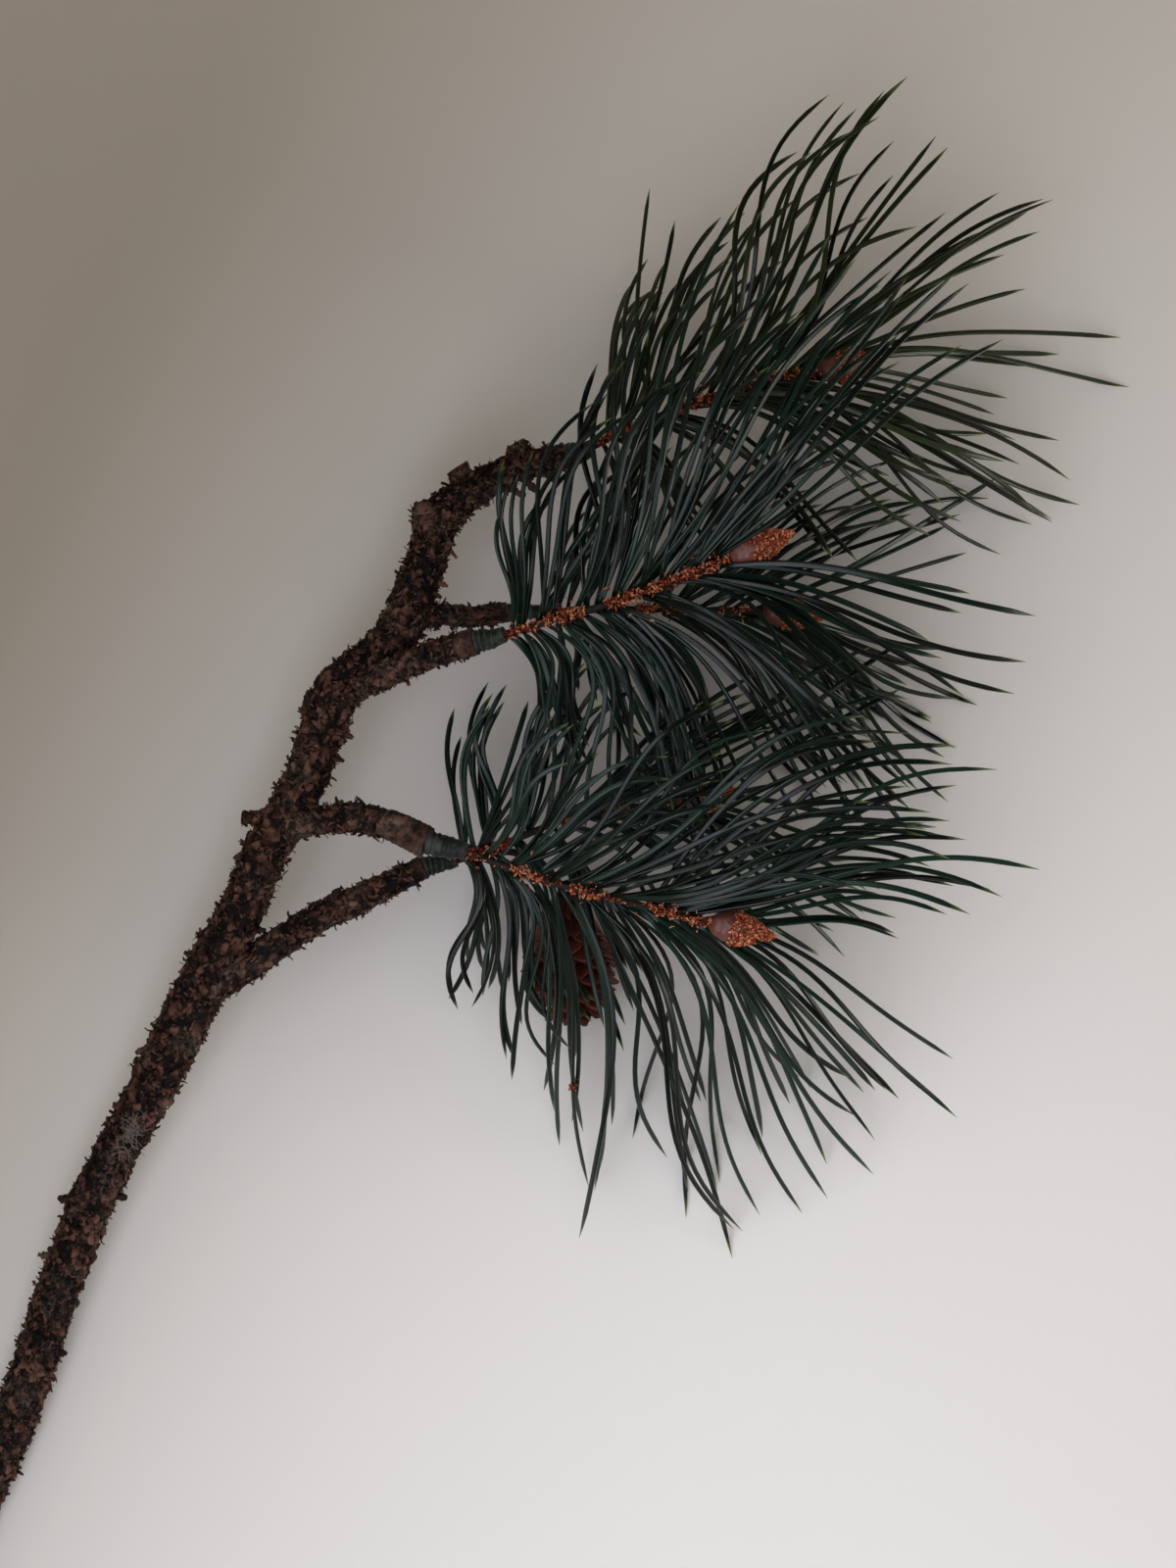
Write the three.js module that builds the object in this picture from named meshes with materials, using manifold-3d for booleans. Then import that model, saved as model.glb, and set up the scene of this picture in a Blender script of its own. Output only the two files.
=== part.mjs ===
// An artificial pine branch lying on its side: a rough wooden stem with four side
// branches, five sprays of moulded needles, a bud on each spray and one small cone.
// Millimetres, +Z up. The stem runs along +X from its cut end, the sprays spread
// towards -Y, and the origin is the middle of the underside of the whole branch.
import * as THREE from "three";
import { mergeVertices } from "three/addons/utils/BufferGeometryUtils.js";
import Module from "manifold-3d";

const wasm = await Module();
wasm.setup();

// Driving dimensions.
const gap = 0.3; // clearance between pieces that meet
const woodSides = 12; // facets round the stem
const buttRadius = 7; // the stem at its cut end
const buttLength = 40; // straight length that lies flat on the surface
const buttHeight = buttRadius * Math.cos(Math.PI / woodSides);
const twigRadius = 2; // twig with its flock
const hubRadius = 1.6; // strip along a twig that a tuft's needles grow from
const prongRadius = 1.4; // a bundle of needles at its root
const prongTipRadius = 0.5;
const needleBow = 0.07; // sideways bow of a needle, as a share of its reach
const needleArch = 0.06; // upward arch of a needle, as a share of its reach
const floorRest = 0.35; // height of a tip's centre line when it touches the surface
const budLength = 19.5;
const budRadius = 4.9;
const coneLength = 45;
const coneRadius = 15;
const stalkRadius = 1.1;
const weldDistance = 1e-4; // corners closer than this are one corner

// Facets round the smaller shapes.
const knobSides = 8;
const collarSides = 8;
const budSides = 8;
const twigSides = 6;
const stalkSides = 6;
const hubSides = 5;
const prongSides = 4;
const coneSides = 12;
const prongFlatness = 0.7; // a prong's height as a share of its width
const hubSteps = 3; // stretches that a strip's curve is drawn in
const tuftTrim = 0.01; // share of the twig left free at each end of a tuft
const rootTrim = 0.02; // share of a strip left free at each end of its roots

// Profiles: [station 0 to 1, share of the shape's radius].
const knobProfile = [
  [0, 1],
  [0.8, 0.95],
  [1, 0.7],
];
const budProfile = [
  [0.25, 0.92],
  [0.45, 1],
  [0.7, 0.75],
  [1, 0.12],
];
const budFootShare = 0.6;
const prongProfile = [
  [0, 1],
  [0.3, 1],
  [0.65, 0.85],
  [1, prongTipRadius / prongRadius],
];
const coneProfile = [
  [0, 0.35],
  [0.1, 0.75],
  [0.35, 1],
  [0.6, 0.92],
  [0.82, 0.68],
  [1, 0.3],
];
const twigStations = [0.01, 0.25, 0.5, 0.75, 0.99];
// Collar: [station, radius] between its ends, and the radius at each end.
const collarRings = [
  [0.2, 3.9],
  [0.3, 3.4],
  [0.6, 3.3],
];
const collarSocketRadius = 3.7;
const collarNeckRadius = 2.8;

const finishes = {
  bark: { color: 0x4a352b, roughness: 0.9 },
  collar: { color: 0x2c3b30, roughness: 0.7 },
  flock: { color: 0xb5573a, roughness: 0.95 },
  bud: { color: 0x8a4a38, roughness: 0.6 },
  needles: { color: 0x243833, roughness: 0.45 },
  topNeedles: { color: 0x36452c, roughness: 0.45 },
  cone: { color: 0x3c211b, roughness: 0.5 },
  stalk: { color: 0x3c211b, roughness: 0.8 },
};

// The stem, from its cut end to the leader's end: each point is [x, y, height, radius].
const stem = [
  [0, 0, buttHeight, buttRadius],
  [buttLength, 0, buttHeight, buttRadius],
  [80, 0, buttHeight, 6.8],
  [125, 0.5, 11, 6.9],
  [180, 5.5, 20, 6.8],
  [212, 6, 27, 7],
  [243, 3.5, 34, 7.3],
  [268, 2.5, 39, 7.7],
  [288, 2, 43, 7.3],
  [307, 0.5, 45, 6.8],
  [323, 1.5, 47, 7],
  [340, -0.5, 48, 6.8],
  [355, 0, 48, 6.6],
  [377, 2, 48, 7.4],
  [391, -4.5, 48, 7],
  [403, -7.5, 49, 6.8],
  [414, -7, 50, 6.6],
  [428, -5.5, 50, 6],
  [438, -4, 50, 6.6],
  [450, -10, 50, 5],
  [460, -17, 50, 4.6],
  [466, -24, 50, 4.3],
  [471, -31, 50, 4.2],
];
// The stem is divided at its main forks: first and last point of each part.
const stemParts = {
  stem_lower: [0, 8],
  stem_middle: [8, 13],
  stem_upper: [13, 17],
  leader: [17, 22],
};

// Side branches, from inside the stem outwards.
const branches = {
  side_branch_1: [
    [272, 3, 40, 5],
    [291, -9, 43, 5],
    [312, -22, 40, 4.6],
    [325, -33, 38, 4.2],
    [339, -44, 37, 3.6],
  ],
  side_branch_2: [
    [330, 2, 47, 4.2],
    [338, -8, 54, 4.4],
    [345, -21, 62, 4.3],
    [347.5, -31, 66, 4.6],
    [347.5, -43, 68, 4.8],
  ],
  side_branch_3: [
    [376, 1, 49, 4.4],
    [386, -8, 55, 4.2],
    [397, -18, 60, 4],
    [408, -30.5, 65, 3.9],
  ],
  side_branch_4: [
    [398, -4, 47, 3.4],
    [410, -14, 44, 3.4],
    [415, -25, 41, 3.2],
    [421, -34, 38, 3],
  ],
};

// Pruned knobs and one snapped stub: [x, y, height, radius, reach, heading in degrees].
const knobs = {
  stem_middle: [
    [334, 1, 48, 2.3, 12, 110],
    [371, 2, 48, 4.6, 8, 100],
  ],
  leader: [
    [434, -3, 50, 5.4, 8, 30],
    [449, -10, 50, 4, 9, 58],
    [464, -21, 50, 3.4, 7, 55],
  ],
};

// The five sprays. The twig's points are [x, y, height]. Each needle guide is
// [station along the twig 0 to 1, heading from the twig's axis in degrees,
//  reach seen from above, height of the tip], left side then right side.
const sprays = {
  lower_front: {
    grownFrom: "side_branch_2",
    twig: [
      [349.6, -53, 70],
      [352.5, -81, 74],
      [357, -105, 75],
      [361.5, -129, 72],
    ],
    bud: [366, -149, 71],
    left: [
      [0.06, 84, 50, 85],
      [0.12, 71, 46, 86],
      [0.2, 56, 54, 86],
      [0.28, 47, 68, 85],
      [0.38, 40, 80, 84],
      [0.45, 36, 94, 86],
      [0.55, 37, 107, 88],
      [0.65, 36, 107, 86],
      [0.76, 35, 104, 84],
      [0.84, 32, 95, 80],
      [0.92, 27, 77, 76],
      [0.96, 20, 71, 72],
    ],
    right: [
      [0.06, -87, 50, 50],
      [0.12, -85, 59, 44],
      [0.2, -77, 71, 36],
      [0.28, -70, 84, 20],
      [0.38, -66, 98, 8],
      [0.45, -60, 115, floorRest],
      [0.53, -54, 122, floorRest],
      [0.62, -50, 108, floorRest],
      [0.74, -46, 112, 6],
      [0.8, -40, 102, 14],
      [0.88, -30, 95, 24],
      [0.96, -20, 88, 45],
    ],
  },
  lower_back: {
    grownFrom: "side_branch_1",
    twig: [
      [343.5, -50.5, 36],
      [352, -60, 36],
      [371, -78, 34],
      [390, -106, 32],
    ],
    bud: [401, -122, 31],
    left: [
      [0.06, 75, 48, 40],
      [0.13, 71, 46, 42],
      [0.2, 65, 56, 44],
      [0.28, 60, 53, 45],
      [0.38, 45, 57, 46],
      [0.46, 34, 67, 46],
      [0.56, 24, 75, 46],
      [0.64, 14, 80, 45],
      [0.76, 20, 84, 44],
      [0.95, 18, 88, 42],
    ],
    right: [
      [0.06, -105, 40, 8],
      [0.12, -98, 52, 24],
      [0.2, -90, 62, 36],
      [0.28, -82, 68, 42],
      [0.38, -76, 72, 42],
      [0.48, -68, 78, 34],
      [0.56, -58, 88, 16],
      [0.64, -50, 90, 10],
      [0.76, -42, 91, 10],
      [0.84, -36, 84, 14],
      [0.95, -30, 83, 20],
    ],
  },
  middle_front: {
    grownFrom: "side_branch_3",
    twig: [
      [412, -36, 66],
      [422.5, -48, 71],
      [438, -66, 76],
      [462, -89, 76],
    ],
    bud: [477, -103, 75],
    left: [
      [0.06, 63, 44, 72],
      [0.12, 57, 57, 78],
      [0.2, 55, 71, 80],
      [0.28, 52, 82, 82],
      [0.38, 48, 95, 84],
      [0.46, 46, 106, 86],
      [0.54, 44, 112, 88],
      [0.62, 42, 117, 88],
      [0.76, 38, 118, 86],
      [0.84, 33, 114, 84],
      [0.95, 20, 98, 82],
    ],
    right: [
      [0.06, -72, 28, 58],
      [0.12, -80, 40, 58],
      [0.2, -88, 52, 60],
      [0.28, -86, 68, 62],
      [0.38, -78, 82, 62],
      [0.46, -70, 94, 60],
      [0.56, -62, 98, 57],
      [0.64, -54, 96, 55],
      [0.76, -46, 94, 56],
      [0.84, -38, 96, 60],
      [0.95, -22, 98, 72],
    ],
  },
  middle_back: {
    grownFrom: "side_branch_4",
    twig: [
      [425.5, -43, 37],
      [432, -56, 36],
      [439, -70, 35],
      [455, -105.5, 33],
    ],
    bud: [462, -124, 32],
    left: [
      [0.06, 76, 39, 20],
      [0.2, 70, 56, 20],
      [0.38, 60, 68, 18],
      [0.55, 48, 75, 16],
      [0.64, 40, 80, 14],
      [0.76, 34, 81, 12],
      [0.95, 20, 81, 10],
    ],
    right: [
      [0.06, -76, 36, 14],
      [0.14, -75, 53, 10],
      [0.28, -72, 66, 6],
      [0.38, -66, 80, 4],
      [0.5, -58, 86, floorRest],
      [0.64, -46, 86, floorRest],
      [0.76, -38, 82, 2],
      [0.86, -32, 78, 4],
      [0.95, -26, 78, 8],
    ],
  },
  top: {
    grownFrom: "leader",
    twig: [
      [475.5, -35.5, 50],
      [490, -48, 52],
      [515, -73, 52],
      [527, -89, 51],
    ],
    bud: [538, -105, 50],
    left: [
      [0.06, 66, 60, floorRest],
      [0.12, 58, 56, 22],
      [0.2, 52, 67, 36],
      [0.27, 52, 76, 42],
      [0.38, 48, 94, 46],
      [0.45, 45, 94, 48],
      [0.53, 42, 102, 50],
      [0.61, 38, 107, 50],
      [0.76, 30, 96, 52],
      [0.84, 22, 95, 50],
      [0.95, 12, 92, 48],
    ],
    right: [
      [0.06, -87, 27, 46],
      [0.16, -74, 41, 46],
      [0.28, -62, 57, 46],
      [0.4, -54, 75, 42],
      [0.52, -46, 90, 36],
      [0.62, -40, 96, 30],
      [0.76, -33, 98, 18],
      [0.84, -28, 93, 10],
      [0.95, -24, 90, floorRest],
    ],
  },
};
// Stations at which each side of a spray is divided into three tufts.
const tuftEdges = [0.03, 0.33, 0.7, 0.98];

const upwards = new THREE.Vector3(0, 0, 1);
const vector = ([x, y, z]) => new THREE.Vector3(x, y, z);
const curveThrough = (points) => new THREE.CatmullRomCurve3(points.map(vector));
const scaled = (profile, radius) => profile.map(([station, share]) => [station, share * radius]);

// A closed geometry with only merged positions, ready to be made solid.
function weld(geometry) {
  const bare = geometry.index ? geometry.toNonIndexed() : geometry.clone();
  bare.deleteAttribute("normal");
  bare.deleteAttribute("uv");
  return mergeVertices(bare, weldDistance);
}

function solidOf(geometry) {
  const welded = weld(geometry);
  return new wasm.Manifold(
    new wasm.Mesh({
      numProp: 3,
      vertProperties: new Float32Array(welded.attributes.position.array),
      triVerts: new Uint32Array(welded.index.array),
    }),
  );
}

function geometryOf(solid) {
  const mesh = solid.getMesh();
  const geometry = new THREE.BufferGeometry();
  geometry.setAttribute("position", new THREE.BufferAttribute(mesh.vertProperties, 3));
  geometry.setIndex(new THREE.BufferAttribute(mesh.triVerts, 1));
  return geometry;
}

// A turned shape carried along a curve. The profile holds [station 0 to 1, radius];
// flat squeezes the section's height. A facet, not an edge, faces down.
function limb(curve, profile, sides, flat = 1) {
  const outline = profile.map(([station, radius]) => new THREE.Vector2(radius, station));
  outline.unshift(new THREE.Vector2(0, profile[0][0]));
  outline.push(new THREE.Vector2(0, profile.at(-1)[0]));
  const turned = weld(new THREE.LatheGeometry(outline, sides, Math.PI / sides));
  const at = turned.attributes.position;
  for (let i = 0; i < at.count; i++) {
    const station = Math.min(Math.max(at.getY(i), 0), 1);
    const forward = curve.getTangentAt(station);
    const side = new THREE.Vector3().crossVectors(forward, upwards).normalize();
    const up = new THREE.Vector3().crossVectors(side, forward);
    const place = curve
      .getPointAt(station)
      .addScaledVector(side, at.getX(i))
      .addScaledVector(up, at.getZ(i) * flat);
    at.setXYZ(i, place.x, place.y, place.z);
  }
  return turned;
}

// Stations 0 to 1 of a path's own points, by their distances along it.
function stationsOf(points) {
  const run = [0];
  for (let i = 1; i < points.length; i++) {
    run.push(run[i - 1] + vector(points[i]).distanceTo(vector(points[i - 1])));
  }
  return run.map((length) => length / run.at(-1));
}

// A stretch of wood from one of its points to another, tapered from point to point,
// with half a gap left at each end.
function woodLimb(points, first = 0, last = points.length - 1, grow = 0) {
  const curve = curveThrough(points);
  const stations = stationsOf(points);
  const end = gap / 2 / curve.getLength();
  const profile = [];
  for (let i = first; i <= last; i++) {
    const trim = (i === first) - (i === last);
    profile.push([stations[i] + end * trim, points[i][3] + grow]);
  }
  return limb(curve, profile, woodSides);
}

function knob([x, y, z, radius, reach, heading]) {
  const turn = THREE.MathUtils.degToRad(heading);
  const start = new THREE.Vector3(x, y, z);
  const finish = start
    .clone()
    .add(new THREE.Vector3(Math.cos(turn), Math.sin(turn), 0).multiplyScalar(reach));
  return solidOf(limb(new THREE.LineCurve3(start, finish), scaled(knobProfile, radius), knobSides));
}

// The outer body of a branch, once the stem that it grows from is cut away.
function outerBody(solid) {
  return solid.decompose().reduce((a, b) => (b.volume() > a.volume() ? b : a));
}

const branch = new THREE.Group();
function addPiece(name, geometry, finish) {
  const piece = new THREE.Mesh(geometry, new THREE.MeshStandardMaterial({ ...finish, metalness: 0 }));
  piece.name = name;
  branch.add(piece);
}

// Wood: the stem's parts carry their knobs, and the side branches are cut to meet them.
for (const [name, [first, last]] of Object.entries(stemParts)) {
  let solid = solidOf(woodLimb(stem, first, last));
  for (const spot of knobs[name] ?? []) solid = solid.add(knob(spot));
  addPiece(name, geometryOf(solid), finishes.bark);
}
const wholeStem = solidOf(woodLimb(stem, 0, stem.length - 1, gap));
for (const [name, points] of Object.entries(branches)) {
  const solid = solidOf(woodLimb(points)).subtract(wholeStem);
  addPiece(name, geometryOf(outerBody(solid)), finishes.bark);
}

// Collar: a ringed socket between the wood's end and the twig's start.
function collar(spray) {
  const woodCurve = curveThrough(branches[spray.grownFrom] ?? stem);
  const start = woodCurve.getPoint(1);
  const finish = vector(spray.twig[0]);
  const bend = start.clone().addScaledVector(woodCurve.getTangent(1), start.distanceTo(finish) / 2);
  const curve = new THREE.QuadraticBezierCurve3(start, bend, finish);
  const end = gap / curve.getLength();
  const rings = [[end, collarSocketRadius], ...collarRings, [1 - end, collarNeckRadius]];
  return limb(curve, rings, collarSides);
}

// Bud: swollen past its base and drawn to a point.
function bud(spray) {
  const start = vector(spray.twig.at(-1));
  const finish = start.clone().add(vector(spray.bud).sub(start).setLength(budLength));
  const foot = (2 * gap) / budLength;
  const profile = [[foot, budFootShare], ...budProfile];
  return limb(new THREE.LineCurve3(start, finish), scaled(profile, budRadius), budSides);
}

// The strip beside a twig, between two stations, that one tuft grows from.
function hubCurve(twig, from, to, sign) {
  const offset = twigRadius + gap + hubRadius;
  const points = [];
  for (let i = 0; i <= hubSteps; i++) {
    const station = from + ((to - from) * i) / hubSteps;
    const forward = twig.getTangentAt(station);
    const side = new THREE.Vector3().crossVectors(upwards, forward).normalize();
    points.push(twig.getPointAt(station).addScaledVector(side, sign * offset));
  }
  return new THREE.CatmullRomCurve3(points);
}

// One prong, a bundle of needles from the strip to the tip, bowed and arched. The
// curve passes half as far from the chord as its middle point, hence the doubling.
function prong(root, axis, [, heading, reach, tipHeight]) {
  const turn = axis + THREE.MathUtils.degToRad(heading);
  const forward = new THREE.Vector3(Math.cos(turn), Math.sin(turn), 0);
  const left = new THREE.Vector3(-forward.y, forward.x, 0);
  const tip = root.clone().addScaledVector(forward, reach).setZ(tipHeight);
  const middle = root
    .clone()
    .lerp(tip, 0.5)
    .addScaledVector(left, needleBow * 2 * reach * Math.abs(Math.sin(turn - axis)))
    .addScaledVector(upwards, needleArch * 2 * reach);
  const curve = new THREE.QuadraticBezierCurve3(root, middle, tip);
  return solidOf(limb(curve, scaled(prongProfile, prongRadius), prongSides, prongFlatness));
}

// One tuft: its strip joined to the prongs whose stations it spans.
function tuft(spray, side, number) {
  const sign = side === "left" ? 1 : -1;
  const twig = curveThrough(spray.twig);
  const from = tuftEdges[number] + tuftTrim;
  const to = tuftEdges[number + 1] - tuftTrim;
  const strip = hubCurve(twig, from, to, sign);
  const first = spray.twig[0];
  const last = spray.twig.at(-1);
  const axis = Math.atan2(last[1] - first[1], last[0] - first[0]);
  const stripProfile = [0, 0.5, 1].map((station) => [station, hubRadius]);
  let solid = solidOf(limb(strip, stripProfile, hubSides));
  for (const guide of spray[side]) {
    const station = guide[0];
    if (station < tuftEdges[number] || station >= tuftEdges[number + 1]) continue;
    const along = (station - from) / (to - from);
    const root = strip.getPointAt(Math.min(Math.max(along, rootTrim), 1 - rootTrim));
    solid = solid.add(prong(root, axis, guide));
  }
  return geometryOf(solid);
}

// Cone: lies on its side on the surface, blunt at the stalk and narrower at its end.
const coneStart = new THREE.Vector3(349, -86, coneRadius);
const coneHeading = new THREE.Vector3(-38, -23.5, -3.5);
const coneEnd = coneStart.clone().add(coneHeading.setLength(coneLength));
const coneAxis = new THREE.LineCurve3(coneStart, coneEnd);
const cone = limb(coneAxis, scaled(coneProfile, coneRadius), coneSides);
cone.computeBoundingBox();
cone.translate(0, 0, -cone.boundingBox.min.z);
addPiece("cone", cone, finishes.cone);

// Its stalk, a stout wire from the lower back spray's first needles down to the cone.
const stalkPoints = [
  [349, -57.5, 30],
  [354, -66, 24],
  [355, -76, 18],
  [350.5, -85, 15],
];
const stalkEnds = [0, 1].map((station) => [station, stalkRadius]);
addPiece("cone_stalk", limb(curveThrough(stalkPoints), stalkEnds, stalkSides), finishes.stalk);

for (const [name, spray] of Object.entries(sprays)) {
  addPiece(`collar_${name}`, collar(spray), finishes.collar);
  const twigProfile = twigStations.map((station) => [station, twigRadius]);
  addPiece(`twig_${name}`, limb(curveThrough(spray.twig), twigProfile, twigSides), finishes.flock);
  addPiece(`bud_${name}`, bud(spray), finishes.bud);
  const green = name === "top" ? finishes.topNeedles : finishes.needles;
  for (const side of ["left", "right"]) {
    for (let number = 0; number < 3; number++) {
      const label = `needles_${name}_${side}_${number + 1}`;
      addPiece(label, tuft(spray, side, number), green);
    }
  }
}

// The origin goes to the middle of the underside of the whole branch.
const whole = new THREE.Box3().setFromObject(branch);
const middle = whole.getCenter(new THREE.Vector3());
branch.position.set(-middle.x, -middle.y, -whole.min.z);
const group = new THREE.Group();
group.add(branch);

export default group;
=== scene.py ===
"""Looks for an artificial pine branch lying on a pale floor: flaking bark, moulded needle sprays
with flocked twigs and buds, and a small cone. Shapes are worked out in millimetres in the branch's
design frame (cut end at the origin, stem along +X, surface at height 0), then placed on the CAD
model."""

import math
from types import SimpleNamespace

import bpy
import numpy as np
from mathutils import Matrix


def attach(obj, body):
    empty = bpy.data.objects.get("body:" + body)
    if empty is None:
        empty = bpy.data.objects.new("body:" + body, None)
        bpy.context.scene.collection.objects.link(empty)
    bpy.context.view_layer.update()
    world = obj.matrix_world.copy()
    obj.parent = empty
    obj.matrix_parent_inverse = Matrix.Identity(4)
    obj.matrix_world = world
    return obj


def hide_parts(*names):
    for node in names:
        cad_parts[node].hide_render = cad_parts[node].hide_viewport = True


bl_info = {
    "name": "Pine Branch",
    "version": (1, 0, 0),
    "blender": (4, 5, 0),
    "location": "View3D > Sidebar > Pine Branch",
    "description": "Builds an artificial pine branch around its packed CAD model",
    "category": "Object",
}

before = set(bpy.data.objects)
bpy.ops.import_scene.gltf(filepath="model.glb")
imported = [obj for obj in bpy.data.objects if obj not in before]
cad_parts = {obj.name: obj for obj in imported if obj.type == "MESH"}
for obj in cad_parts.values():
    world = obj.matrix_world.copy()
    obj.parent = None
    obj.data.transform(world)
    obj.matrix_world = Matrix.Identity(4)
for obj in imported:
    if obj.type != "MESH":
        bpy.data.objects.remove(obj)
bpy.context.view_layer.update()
MM = 0.001
UP = np.array([0.0, 0.0, 1.0])
GOLDEN_ANGLE = math.pi * (3 - math.sqrt(5))
FULL_TURN = 2 * math.pi

FLAKE_ROWS = 4
STEM_FLAKES = 6600
NEEDLE_POINTS = 22  # points along a needle's centre line
NEEDLE_SIDES = 12
NEEDLE_FLOOR = 0.9  # least height of a needle's centre line
NEEDLE_CEILING = 99
TWIG_POINTS, TWIG_SIDES = 60, 16
TWIG_GRAINS = 1000
BUD_ROWS, BUD_SIDES = 60, 48
BUD_GRAINS = 900
CROWN_GRAINS = 90
SPECK_GRAINS = 34
COLLAR_RINGS, COLLAR_SIDES = 56, 40
COBWEB_THREADS = 44
COBWEB_MIDDLE = np.array([226.0, 3.0, 38.3])
CONE_SCALES = 84
SCALE_POINTS = 9  # points along and across a cone scale
CORE_RINGS, WIRE_RINGS, CORE_SIDES = 24, 50, 20  # the cone's core and its stalk
CHIP_POINTS, THREAD_POINTS = 9, 9
FLOOR_SIDES = 72
LEAST_HEIGHT = 0.02  # nothing is drawn lower than this

# The view: the point of the design frame under the camera, its height in metres and its turn.
VIEW_MIDDLE = (383.6, -79.2, 0)
VIEW_HEIGHT = 0.978
VIEW_TURN = math.radians(-65)
# Lamps: place and aim as metres right of, down from and above the view's middle, then width in
# metres, power, spread in degrees and tint.
LAMPS = {
    "window": ((-0.11, 0.57, 0.83), (1.57, 1.39, 0.0), 1.3, 8.9, 178, "#edf2ff"),
    "side_window": ((1.25, 0.3, 0.45), (0.0, 0.0, 0.05), 0.45, 2.8, 180, "#fbf7f0"),
    "room": ((-0.9, -0.4, 1.4), (0.0, 0.0, 0.05), 1.4, 0.4, 180, "#ffe2c4"),
}
ROOM_TINT = "#d6cbbd"
ROOM_STRENGTH, ROOM_STRENGTH_CUT = 0.46, 0.38  # the cut is for what glossy surfaces mirror

# The stem from its cut end to the leader's end: x, y, height and radius of each point.
STEM = [
    (0, 0, 6.76, 7), (40, 0, 6.76, 7), (80, 0, 6.76, 6.8), (125, 0.5, 11, 6.9),
    (180, 5.5, 20, 6.8), (212, 6, 27, 7), (243, 3.5, 34, 7.3), (268, 2.5, 39, 7.7),
    (288, 2, 43, 7.3), (307, 0.5, 45, 6.8), (323, 1.5, 47, 7), (340, -0.5, 48, 6.8),
    (355, 0, 48, 6.6), (377, 2, 48, 7.4), (391, -4.5, 48, 7), (403, -7.5, 49, 6.8),
    (414, -7, 50, 6.6), (428, -5.5, 50, 6), (438, -4, 50, 6.6), (450, -10, 50, 5),
    (460, -17, 50, 4.6), (466, -24, 50, 4.3), (471, -31, 50, 4.2),
]
SIDE_BRANCHES = {
    "side_branch_1": [(272, 3, 40, 5), (291, -9, 43, 5), (312, -22, 40, 4.6),
                      (325, -33, 38, 4.2), (339, -44, 37, 3.6)],
    "side_branch_2": [(330, 2, 47, 4.2), (338, -8, 54, 4.4), (345, -21, 62, 4.3),
                      (347.5, -31, 66, 4.6), (347.5, -43, 68, 4.8)],
    "side_branch_3": [(376, 1, 49, 4.4), (386, -8, 55, 4.2), (397, -18, 60, 4),
                      (408, -30.5, 65, 3.9)],
    "side_branch_4": [(398, -4, 47, 3.4), (410, -14, 44, 3.4), (415, -25, 41, 3.2),
                      (421, -34, 38, 3)],
}
# Pruned knobs and the snapped stub: x, y, height, radius, reach, heading in degrees.
KNOBS = [
    (334, 1, 48, 2.3, 12, 110), (371, 2, 48, 4.6, 8, 100), (434, -3, 50, 5.4, 8, 30),
    (449, -10, 50, 4, 9, 58), (464, -21, 50, 3.4, 7, 55),
]
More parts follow.
